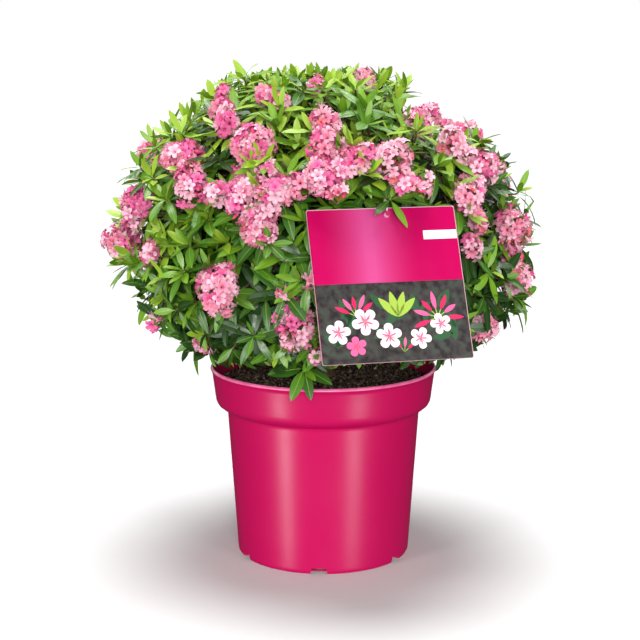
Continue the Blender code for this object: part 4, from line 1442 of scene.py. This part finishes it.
def model_flower(name, section, stamens):
    """Five petals from one grid, closed to a tube below and free above, with stamens."""
    petal, across, along = plain_grid(4, len(section))
    for face in petal.data.polygons:
        row = min(len(section) - 2, int((face.center.y + 0.5) * (len(section) - 1)))
        middle = abs(face.center.x) < 0.1
        face.material_index = THROAT if row < 2 else (PINK if middle and row < 5 else PALE)
    for vert in petal.data.vertices:
        column = across.index(round(vert.co.x, 4)) / (len(across) - 1) * 2.0 - 1.0
        radius, height, share = section[along.index(round(vert.co.y, 4))]
        turn = column * share * math.radians(36.0)
        lift = 0.0007 * abs(column) * (1.0 - share) * (1.0 if share > 0.0 else 0.0)
        vert.co = (radius * math.sin(turn), -radius * math.cos(turn), height + lift)
    clean_mesh(petal, 0.00005, outward=False)
    parts = [petal]
    for turn in range(1, 5):
        pick(petal)
        bpy.ops.object.duplicate()
        copy = bpy.context.object
        copy.data.transform(Matrix.Rotation(math.radians(72.0 * turn), 4, "Z"))
        parts.append(copy)
    for count in range(stamens):
        turn = math.radians(360.0 / stamens * count + 20.0)
        foot = Vector((0.0005 * math.cos(turn), 0.0005 * math.sin(turn), 0.001))
        top = Vector((0.0030 * math.cos(turn), 0.0030 * math.sin(turn), section[-1][1] + 0.0035))
        deselect_all()
        run = top - foot
        bpy.ops.mesh.primitive_cone_add(
            vertices=3, radius1=0.00022, radius2=0.00016, depth=run.length, end_fill_type="NOTHING"
        )
        filament = bpy.context.object
        filament.data.transform(run.to_track_quat("Z", "Y").to_matrix().to_4x4())
        filament.data.transform(Matrix.Translation((foot + top) / 2.0 - filament.location))
        for face in filament.data.polygons:
            face.material_index = STAMEN
        parts.append(filament)
        deselect_all()
        bpy.ops.mesh.primitive_cone_add(vertices=4, radius1=0.00048, radius2=0.0, depth=0.0009)
        anther = bpy.context.object
        anther.data.transform(Matrix.Translation(top))
        for face in anther.data.polygons:
            face.material_index = ANTHER
        parts.append(anther)
    flower = join(parts, name)
    print(name, triangles(flower), "triangles")
    return Pattern(flower)


open_flower = model_flower("open_flower", PETAL_OPEN, 4)
half_flower = model_flower("half_flower", PETAL_HALF, 2)

deselect_all()
bpy.ops.mesh.primitive_uv_sphere_add(segments=6, ring_count=6, radius=1.0)
closed = bpy.context.object
for vert in closed.data.vertices:
    high = (vert.co.z + 1.0) / 2.0
    slim = 0.45 + 0.75 * math.sin(math.pi * min(1.0, high * 1.05) ** 0.8)
    vert.co.x *= slim
    vert.co.y *= slim
    vert.co.z = high
flower_bud = Pattern(closed)
deselect_all()
bpy.ops.mesh.primitive_cylinder_add(vertices=3, radius=1.0, depth=1.0, end_fill_type="NOTHING")
stalk = Pattern(bpy.context.object)

# %% Colours of the petals
FLOWER_SHADES = [
    ("petal_pale", shade(242, 186, 203), 0.55),
    ("petal_pink", shade(233, 142, 168), 0.55),
    ("petal_rose", shade(219, 105, 140), 0.55),
    ("petal_throat", shade(204, 76, 84), 0.55),
    ("flower_bud", shade(226, 74, 126), 0.42),
    ("stamen", shade(250, 208, 214), 0.50),
    ("anther", shade(196, 150, 96), 0.60),
    ("pedicel", shade(150, 130, 62), 0.55),
    ("petal_salmon", shade(232, 128, 134), 0.55),
    ("petal_hot", shade(230, 106, 160), 0.55),
]
# Outer and middle of the petals, from cool pink to faded salmon
PETAL_PAIRS = [
    (PINK, HOT), (HOT, PALE), (PALE, HOT), (HOT, PINK), (PALE, PINK), (PINK, ROSE), (PALE, ROSE),
    (PALE, SALMON), (SALMON, ROSE), (PINK, SALMON),
]
petal_materials = []
for name, colour, roughness in FLOWER_SHADES:
    spread = (roughness - 0.05, roughness + 0.12)
    petal = grained_material(name, colour, roughness, 0.35, (520.0, 3.0), (0.20, 0.0004), spread)
    petal_materials.append(petal)

# %% [markdown]
# The flowers of a truss are spread by the golden angle, which is how they really grow: each next
# one turns 137.5 degrees further and sits a little lower on the dome. Where two trusses nearly
# touch, a small one fills the place between them, so that they run together as they do in life.

# %% Fill the trusses
GOLDEN = math.radians(137.508)
LUMPS = 0.0050
BRIDGED_GAP = 0.020
# A head of this radius carries so many flowers, and a wider one more by its area
ONE_HEAD = 0.0085
ONE_HEAD_FLOWERS = 9.4
BUD_SHARE = 0.08
HALF_OPEN_SHARE = 0.30
OPEN_TALL = 0.0078
HALF_TALL = 0.0110
BUD_TALL = 0.0100
flower_total = 0
chance = random.Random(404)
flower_batches = [[] for name, direction in MASSES]
flower_heads = [(place, radius, axis) for (place, radius), axis in zip(tips, first_axes) if radius]
bridges = []
for first, (place, radius, axis) in enumerate(flower_heads):
    for other, other_radius, other_axis in flower_heads[first + 1:]:
        gap = (other - place).length - radius - other_radius
        if gap < BRIDGED_GAP and min(radius, other_radius) > 0.012:
            middle = (place * other_radius + other * radius) / (radius + other_radius)
            both = (axis + other_axis).normalized()
            bridges.append((middle - both * 0.002, 0.70 * min(radius, other_radius), both))
flower_heads += bridges
print(len(bridges), "small trusses between others")
for place, radius, axis in flower_heads:
    mass = owner_of(place)
    count = max(9, round(ONE_HEAD_FLOWERS * (radius / ONE_HEAD) ** 2)) if radius > 0.008 else 4
    squash = Vector((chance.uniform(0.82, 1.18), chance.uniform(0.82, 1.18), chance.uniform(0.84, 1.20)))
    fading = Vector((chance.gauss(0, 1), chance.gauss(0, 1), chance.gauss(0, 1) - 0.6)).normalized()
    side = axis.cross(Vector((0.31, 0.77, 0.22))).normalized()
    other = axis.cross(side)
    foot = place - axis * radius * 0.70
    spin = chance.uniform(0.0, 6.28)
    warm = min(1.0, max(0.0, 0.45 + 1.8 * place.x + chance.gauss(0.0, 0.28)))
    for number in range(count):
        cos_down = 1.0 - (number + 0.5) / count * 1.46
        sin_down = math.sqrt(max(0.0, 1.0 - cos_down * cos_down))
        turn = spin + GOLDEN * number
        ahead = (axis * cos_down + (side * math.cos(turn) + other * math.sin(turn)) * sin_down).normalized()
        out = Vector((ahead.x * squash.x, ahead.y * squash.y, ahead.z * squash.z))
        ahead = (ahead + chance_vector(chance, 0.20, 0.20, 0.20)).normalized()
        kind = chance.random()
        size = chance.uniform(0.58, 0.86)
        if kind < BUD_SHARE:
            pattern, tall = flower_bud, BUD_TALL
            measures = np.array((0.0021, 0.0021, BUD_TALL)) * size
            slots = np.full(len(flower_bud.faces), FLOWER_BUD)
        else:
            pattern, tall = (half_flower, HALF_TALL) if kind < HALF_OPEN_SHARE else (open_flower, OPEN_TALL)
            measures = np.array((size, size, size))
            depth = 0.18 + 0.50 * warm + 0.20 * out.dot(fading) + chance.gauss(0.0, 0.18)
            pair = max(0, min(len(PETAL_PAIRS) - 1, int(depth * len(PETAL_PAIRS))))
            rim_colour, middle_colour = PETAL_PAIRS[pair]
            slots = np.where(pattern.slots == PINK, middle_colour, pattern.slots)
            slots = np.where(pattern.slots == PALE, rim_colour, slots)
        mouth = place + out * radius * chance.uniform(0.66, 1.02)
        mouth += noise.noise_vector(mouth * 55.0) * LUMPS
        if before_label(mouth):
            continue
        root = mouth - ahead * tall * size
        turned = turn_to(ahead, chance.uniform(0.0, 6.28))
        points = (pattern.points * measures) @ turned.T + np.array(root)
        flower_batches[mass].append((pattern, points, slots))
        run = root - foot
        if run.length > 0.002:
            turned = turn_to(run.normalized(), 0.0)
            thin = stalk.points * np.array((0.0005, 0.0005, run.length))
            points = thin @ turned.T + np.array((root + foot) / 2.0)
            flower_batches[mass].append((stalk, points, np.full(len(stalk.faces), PEDICEL)))


def batch_of(pattern, own):
    """One batch from a list of (points, material numbers), a pair for each copy."""
    return pattern, np.array([points for points, slots in own]), np.array([slots for points, slots in own])


for number, (name, direction) in enumerate(MASSES):
    batches = []
    for pattern in (open_flower, half_flower, flower_bud, stalk):
        own = [(points, slots) for model, points, slots in flower_batches[number] if model is pattern]
        if own:
            batches.append(batch_of(pattern, own))
    if batches:
        flowers = mesh_from_copies(name.replace("foliage", "flowers"), batches, petal_materials)
        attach(flowers, "root")
        flower_total += triangles(flowers)
print("flowers:", len(flower_heads), "trusses,", flower_total, "triangles")

# %% [markdown]
# ## The label and its loop
#
# The care label is a thin stiff plastic card that hangs from a twig by a clear loop: a pink field
# over a picture strip of five-petalled blossoms, with a painted highlight that makes the pink
# brightest round its middle. A picture mapped on one face would be the usual way. The print is
# laid on as very thin raised layers instead, each with its own plain material, so that it stays
# sharp from close by.

# %% Cut the card
LABEL_THICK = 0.0010
LABEL_CORNER = 0.0016
# Place across, radius, and place below the upper edge
LABEL_HOLE = (0.0050, 0.0025, 0.0066)
deselect_all()
bpy.ops.mesh.primitive_cube_add(size=1.0)
card = bpy.context.object
card.name = "care_label"
card.scale = (LABEL_WIDE, LABEL_THICK, LABEL_HIGH)
rest_at_origin(card)
bpy.ops.object.mode_set(mode="EDIT")
bpy.ops.mesh.select_all(action="DESELECT")
bpy.ops.object.mode_set(mode="OBJECT")
# Only the four short edges through the card are rounded
for edge in card.data.edges:
    first, second = (card.data.vertices[v].co for v in edge.vertices)
    edge.select = abs(first.y - second.y) > LABEL_THICK * 0.5
bpy.ops.object.mode_set(mode="EDIT")
bpy.ops.mesh.select_mode(type="EDGE")
bpy.ops.mesh.bevel(offset=LABEL_CORNER, segments=5)
bpy.ops.object.mode_set(mode="OBJECT")
deselect_all()
hole_x, hole_radius, hole_drop = LABEL_HOLE
hole_place = (hole_x, 0.0, LABEL_HIGH / 2.0 - hole_drop)
bpy.ops.mesh.primitive_cylinder_add(vertices=32, radius=hole_radius, depth=0.01, location=hole_place)
punch = bpy.context.object
punch.rotation_euler.x = math.pi / 2.0
cut_away(card, punch)

# %% Colour the card
LABEL_PINK = (0.475, 0.000, 0.084)
# The pink field is painted paler round its middle: a painted highlight, the soft shine of the lights on the
# card
LABEL_HIGHLIGHT = (0.590, 0.066, 0.245)
HIGHLIGHT_MIDDLE = (-0.014, 0.0, 0.035)
HIGHLIGHT_SIZE = (0.046, 1.0, 0.60)
card_plastic = plain_material("label_pink", LABEL_PINK, 0.32, 0.15)
card_nodes = card_plastic.node_tree.nodes
card_links = card_plastic.node_tree.links
highlight_place = card_nodes.new("ShaderNodeTexCoord")
highlight_mapping = card_nodes.new("ShaderNodeMapping")
highlight_mapping.vector_type = "TEXTURE"
highlight_mapping.inputs["Location"].default_value = LABEL @ Vector(HIGHLIGHT_MIDDLE)
highlight_mapping.inputs["Rotation"].default_value = LABEL.to_euler()
highlight_mapping.inputs["Scale"].default_value = HIGHLIGHT_SIZE
painted_highlight = card_nodes.new("ShaderNodeTexGradient")
painted_highlight.gradient_type = "QUADRATIC_SPHERE"
card_links.new(highlight_place.outputs["Object"], highlight_mapping.inputs["Vector"])
card_links.new(highlight_mapping.outputs["Vector"], painted_highlight.inputs["Vector"])
vary_colour(card_plastic, painted_highlight, [(0.0, LABEL_PINK), (0.85, LABEL_HIGHLIGHT)])
card_grain = add_noise(card_plastic, 90.0, 3.0)
add_bump(card_plastic, card_grain, 0.06, 0.0004)
vary_roughness(card_plastic, card_grain, 0.28, 0.36)
card_edge = grained_material("label_edge", (0.78, 0.60, 0.66), 0.40, 0.5, (900.0, 2.0), (0.10, 0.0002))
card.data.materials.clear()
card.data.materials.append(card_plastic)
card.data.materials.append(card_edge)
for face in card.data.polygons:
    face.material_index = 0 if abs(face.normal.y) > 0.7 else 1
card.data.transform(LABEL)
pick(card)
bpy.ops.object.shade_smooth_by_angle(angle=math.radians(30.0))
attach(card, "root")
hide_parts("label")
print("label:", triangles(card), "triangles")

# %% [markdown]
# The print is a set of flat shapes, nearly all of them circles drawn to an outline, that lie on
# the card in layers a few hundredths of a millimetre apart: the dark ground and the pale strip,
# then leaves, buds and blossoms.

# %% Print the card
PRINT_TOP = 0.0005
GROUND, PRINT_LEAF, PRINT_LIME, PRINT_WHITE, PRINT_PINK, PRINT_ROSE, PRINT_STAMEN, STRIP_WHITE = range(8)
PRINT_SHADES = [
    ("print_ground", (50, 44, 46)), ("print_leaf", (44, 86, 52)), ("print_lime", (160, 190, 70)),
    ("print_white", (250, 226, 234)), ("print_pink", (238, 96, 150)), ("print_rose", (206, 30, 92)),
    ("print_stamen", (196, 90, 80)), ("print_strip", (252, 250, 250)),
]
GROUND_STOPS = [(0.35, shade(34, 30, 32)), (0.55, shade(60, 56, 54)), (0.70, shade(52, 72, 56))]
print_materials = []
for name, colour in PRINT_SHADES:
    stops = GROUND_STOPS if name == "print_ground" else None
    print_materials.append(
        grained_material(name, shade(*colour), 0.34, 0.5, (150.0, 3.0), rough=(0.30, 0.38), stops=stops)
    )


def flat_shape(name, corners, outline):
    """A flat closed shape one long and one wide, from a circle drawn to an outline."""
    deselect_all()
    bpy.ops.mesh.primitive_circle_add(vertices=corners, radius=1.0, fill_type="NGON")
    piece = bpy.context.object
    for vert in piece.data.vertices:
        turn = math.atan2(vert.co.x, vert.co.y)
        across, along = outline(turn)
        vert.co = (across, 0.0, along)
    clean_mesh(piece)
    if piece.data.polygons[0].normal.y > 0.0:
        piece.data.flip_normals()
    return Pattern(piece)


def petal_outline(turn):
    """A broad petal that narrows to its foot."""
    along = 0.5 + 0.5 * math.cos(turn)
    return math.sin(turn) * 0.36 * (0.55 + 0.75 * along), along


def blade_outline(turn):
    """A pointed leaf or bud."""
    along = 0.5 + 0.5 * math.cos(turn)
    if not 0.001 < along < 0.999:
        return 0.0, along
    return math.copysign(0.5 * math.sin(math.pi * along) ** 0.8, math.sin(turn)), along


print_petal = flat_shape("print_petal", 16, petal_outline)
print_blade = flat_shape("print_blade", 14, blade_outline)
deselect_all()
bpy.ops.mesh.primitive_plane_add(size=1.0, rotation=(math.pi / 2.0, 0.0, 0.0))
square = bpy.context.object
rest_at_origin(square)
print_square = Pattern(square)
prints = {print_petal: [], print_blade: [], print_square: []}


def print_shape(pattern, x, z, wide, long, turn_deg, layer, slot):
    """Lay one flat shape on the card, turned clockwise from upright."""
    turn = np.array(Matrix.Rotation(math.radians(turn_deg), 3, "Y"))
    points = (pattern.points * np.array((wide, 1.0, long))) @ turn.T
    points = points + np.array((x, -(PRINT_TOP + 0.00004 * layer), z))
    card_points = points @ label_turn.T + np.array(LABEL_CENTRE)
    prints[pattern].append((card_points, np.full(len(pattern.faces), slot)))


PANEL_HIGH = 0.0715
panel_middle = -LABEL_HIGH / 2.0 + PANEL_HIGH / 2.0 + 0.0004
print_shape(print_square, 0.0, panel_middle, LABEL_WIDE - 0.0012, PANEL_HIGH, 0.0, 1, GROUND)
print_shape(print_square, LABEL_WIDE / 2.0 - 0.0162, 0.0440, 0.0310, 0.0082, 0.0, 1, STRIP_WHITE)


def print_blossom(x, z, size, turn_deg, colour):
    """Five petals round a throat, with fine stamens."""
    for count in range(5):
        print_shape(print_petal, x, z, size, size, turn_deg + 72.0 * count, 5, colour)
    for count in range(5):
        print_shape(print_blade, x, z, size * 0.13, size * 0.62, turn_deg + 72.0 * count, 6, PRINT_PINK)
    for count in range(7):
        turn = turn_deg + 51.0 * count + 14.0
        print_shape(print_blade, x, z, size * 0.045, size * 0.55, turn, 7, PRINT_STAMEN)


def print_buds(x, z, size, turns, colour):
    """A spray of closed buds on their stalks, fanned from one place."""
    for count, turn in enumerate(turns):
        long = size * (1.0 - 0.10 * (count % 3))
        print_shape(print_blade, x, z, size * 0.05, size * 0.70, turn, 3, PRINT_LIME)
        start = size * 0.42
        bud_x = x + math.sin(math.radians(turn)) * start
        bud_z = z + math.cos(math.radians(turn)) * start
        own = colour if count % 2 else PRINT_ROSE
        print_shape(print_blade, bud_x, bud_z, size * 0.27, long, turn, 4, own)


print_chance = random.Random(52)
for count in range(26):
    x = print_chance.uniform(-0.056, 0.056)
    z = panel_middle + print_chance.uniform(-0.022, 0.012)
    long = print_chance.uniform(0.016, 0.022)
    print_shape(print_blade, x, z, 0.0075, long, print_chance.uniform(-80, 80), 2, PRINT_LEAF)
for turn in (-42, -12, 18, 46):
    print_shape(print_blade, 0.004, panel_middle + 0.004, 0.0072, 0.0240, turn, 3, PRINT_LIME)
print_buds(-0.033, panel_middle + 0.006, 0.0150, (-64, -34, -6, 24, 52), PRINT_PINK)
print_buds(0.040, panel_middle + 0.002, 0.0170, (-110, -72, -40, -8, 26, 58, 92), PRINT_PINK)
print_buds(0.006, panel_middle - 0.028, 0.0105, (-30, 10, 50), PRINT_PINK)
# Place across, place above the panel's middle, size, turn in degrees, colour
PRINT_BLOSSOMS = [
    (-0.051, -0.008, 0.0112, 10, PRINT_WHITE), (-0.026, 0.001, 0.0125, 40, PRINT_WHITE),
    (-0.006, -0.013, 0.0118, 0, PRINT_WHITE), (0.022, -0.016, 0.0100, 25, PRINT_WHITE),
    (0.042, -0.004, 0.0098, 55, PRINT_WHITE), (-0.036, -0.021, 0.0092, 64, PRINT_PINK),
]
for x, rise, size, turn, colour in PRINT_BLOSSOMS:
    print_blossom(x, panel_middle + rise, size, turn, colour)
batches = [batch_of(pattern, own) for pattern, own in prints.items()]
card_print = mesh_from_copies("label_print", batches, print_materials)
for face in card_print.data.polygons:
    face.use_smooth = False
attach(card_print, "root")
print("print:", triangles(card_print), "triangles")

# %% [markdown]
# The loop is a torus whose ring is drawn to an upright oval through the label's hole. Its wire
# keeps one thickness all round, which scaling the torus wouldn't do.

# %% Bend the loop
deselect_all()
bpy.ops.mesh.primitive_torus_add(major_segments=72, minor_segments=12, major_radius=1.0, minor_radius=0.05)
loop = bpy.context.object
loop.name = "clear_loop"
LOOP_WIRE = 0.0006
LOOP_HALF_HEIGHT = 0.0068
LOOP_HALF_DEPTH = 0.0040
for vert in loop.data.vertices:
    flat = Vector((vert.co.x, vert.co.y, 0.0))
    ring = flat.normalized()
    out = flat.length - 1.0
    line = Vector((ring.x * LOOP_HALF_HEIGHT, ring.y * LOOP_HALF_DEPTH, 0.0))
    square = Vector((ring.x / LOOP_HALF_HEIGHT, ring.y / LOOP_HALF_DEPTH, 0.0)).normalized()
    placed = line + square * (out / 0.05 * LOOP_WIRE)
    vert.co = LABEL @ (LOOP_MIDDLE + Vector((vert.co.z / 0.05 * LOOP_WIRE, placed.y, placed.x)))
clean_mesh(loop)
for face in loop.data.polygons:
    face.use_smooth = True
loop_plastic = grained_material(
    "loop_clear_white", (0.78, 0.79, 0.78), 0.28, 0.5, (700.0, 3.0), (0.08, 0.0002), (0.22, 0.34)
)
loop.data.materials.append(loop_plastic)
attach(loop, "root")
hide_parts("label_loop")
print("loop:", triangles(loop), "triangles")

# %% [markdown]
# ## Camera, lights and floor
#
# The photograph looks slightly down from a metre and a half away. A tall softbox on each side
# gives the pot its upright shines, a wide sun overhead lays the soft shadow round its foot, and a
# low one from the front lights the collar under the leaves. Two faint ones from behind keep the
# hidden side from going dark and leave the floor alone.
#
# A bright floor and a white world would lay a grey veil over the glossy pot. So the floor is
# hidden from reflections, and the world is dim for glossy rays and white only to the camera.

# %% Camera
CAMERA_PLACE = (-0.0034, -1.5, 0.519)
CAMERA_DOWN_DEG = 10.5
CAMERA_LENS = 83.98
camera_turn = (math.radians(90.0 - CAMERA_DOWN_DEG), 0.0, 0.0)
bpy.ops.object.camera_add(location=CAMERA_PLACE, rotation=camera_turn)
camera = bpy.context.object
camera.data.lens = CAMERA_LENS
camera.data.sensor_width = 36.0
bpy.context.scene.camera = camera

# %% Lights
# Place, width, height, power
LIGHTS = [
    ("left_softbox", (-1.15, -1.11, 0.20), 0.28, 1.80, 14.0),
    ("right_softbox", (0.95, -1.28, 0.20), 0.40, 1.80, 11.0),
]
# Degrees round from the front, degrees up, strength, width of the light in degrees
SUNS = [
    ("overhead", 180.0, 88.0, 3.30, 34.0),
    ("front_key", 3.0, 14.0, 1.80, 20.0),
    ("left_fill", -150.0, 26.0, 0.70, 40.0),
    ("right_fill", 150.0, 26.0, 0.70, 40.0),
]
LIGHT_AIM = Vector((0.0, 0.0, 0.28))
for name, place, wide, high, power in LIGHTS:
    bpy.ops.object.light_add(type="AREA", location=place)
    light = bpy.context.object
    light.name = name
    light.data.shape = "RECTANGLE"
    light.data.size = wide
    light.data.size_y = high
    light.data.energy = power
    light.rotation_euler = (LIGHT_AIM - Vector(place)).to_track_quat("-Z", "Y").to_euler()
for name, azimuth, lift, power, spread in SUNS:
    deselect_all()
    bpy.ops.object.light_add(type="SUN", location=aim(azimuth, lift) * 3.0)
    sun = bpy.context.object
    sun.name = name
    sun.rotation_euler = (-aim(azimuth, lift)).to_track_quat("-Z", "Y").to_euler()
    sun.data.energy = power
    sun.data.angle = math.radians(spread)
bpy.context.scene.view_settings.view_transform = "Standard"

# %% World
WORLD_LIGHT = 0.26
WORLD_IN_REFLECTIONS = 0.03
WORLD_SEEN = 1.0
WHITE = (1.0, 1.0, 1.0, 1.0)
world = bpy.data.worlds.new("studio")
bpy.context.scene.world = world
world.use_nodes = True
world_nodes = world.node_tree.nodes
world_links = world.node_tree.links
rays = world_nodes.new("ShaderNodeLightPath")


def whiten(background, strength):
    """Make a background white, with so much strength."""
    background.inputs["Color"].default_value = WHITE
    background.inputs["Strength"].default_value = strength
    return background


def choose(kind_of_ray, otherwise, own):
    """One background for a kind of ray, and another for all the rest."""
    mix = world_nodes.new("ShaderNodeMixShader")
    world_links.new(rays.outputs[kind_of_ray], mix.inputs["Fac"])
    world_links.new(otherwise.outputs[0], mix.inputs[1])
    world_links.new(own.outputs[0], mix.inputs[2])
    return mix


everywhere = whiten(world_nodes["Background"], WORLD_LIGHT)
dim = whiten(world_nodes.new("ShaderNodeBackground"), WORLD_IN_REFLECTIONS)
bright = whiten(world_nodes.new("ShaderNodeBackground"), WORLD_SEEN)
studio = choose("Is Camera Ray", choose("Is Glossy Ray", everywhere, dim), bright)
world_links.new(studio.outputs["Shader"], world_nodes["World Output"].inputs["Surface"])

# %% Floor
deselect_all()
bpy.ops.mesh.primitive_plane_add(size=60.0)
floor = bpy.context.object
floor.name = "floor"
PAPER = (0.77, 0.77, 0.77)
PAPER_GLOW = 0.04
paper = plain_material("floor_paper", PAPER, 0.8, 0.1)
paper_shader = paper.node_tree.nodes["Principled BSDF"]
paper_shader.inputs["Emission Color"].default_value = WHITE
paper_shader.inputs["Emission Strength"].default_value = PAPER_GLOW
floor.data.materials.append(paper)
floor.visible_glossy = False
floor.visible_diffuse = False
floor.visible_shadow = False
beside_fills = bpy.data.collections.new("not_lit_by_fills")
beside_fills.objects.link(floor)
beside_fills.collection_objects[0].light_linking.link_state = "EXCLUDE"
for name in ("left_fill", "right_fill"):
    bpy.data.objects[name].light_linking.receiver_collection = beside_fills
floor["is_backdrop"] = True

# %% Write the sizes and finish
low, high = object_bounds()
print("scene ", [round(b - a, 4) for a, b in zip(low, high)])
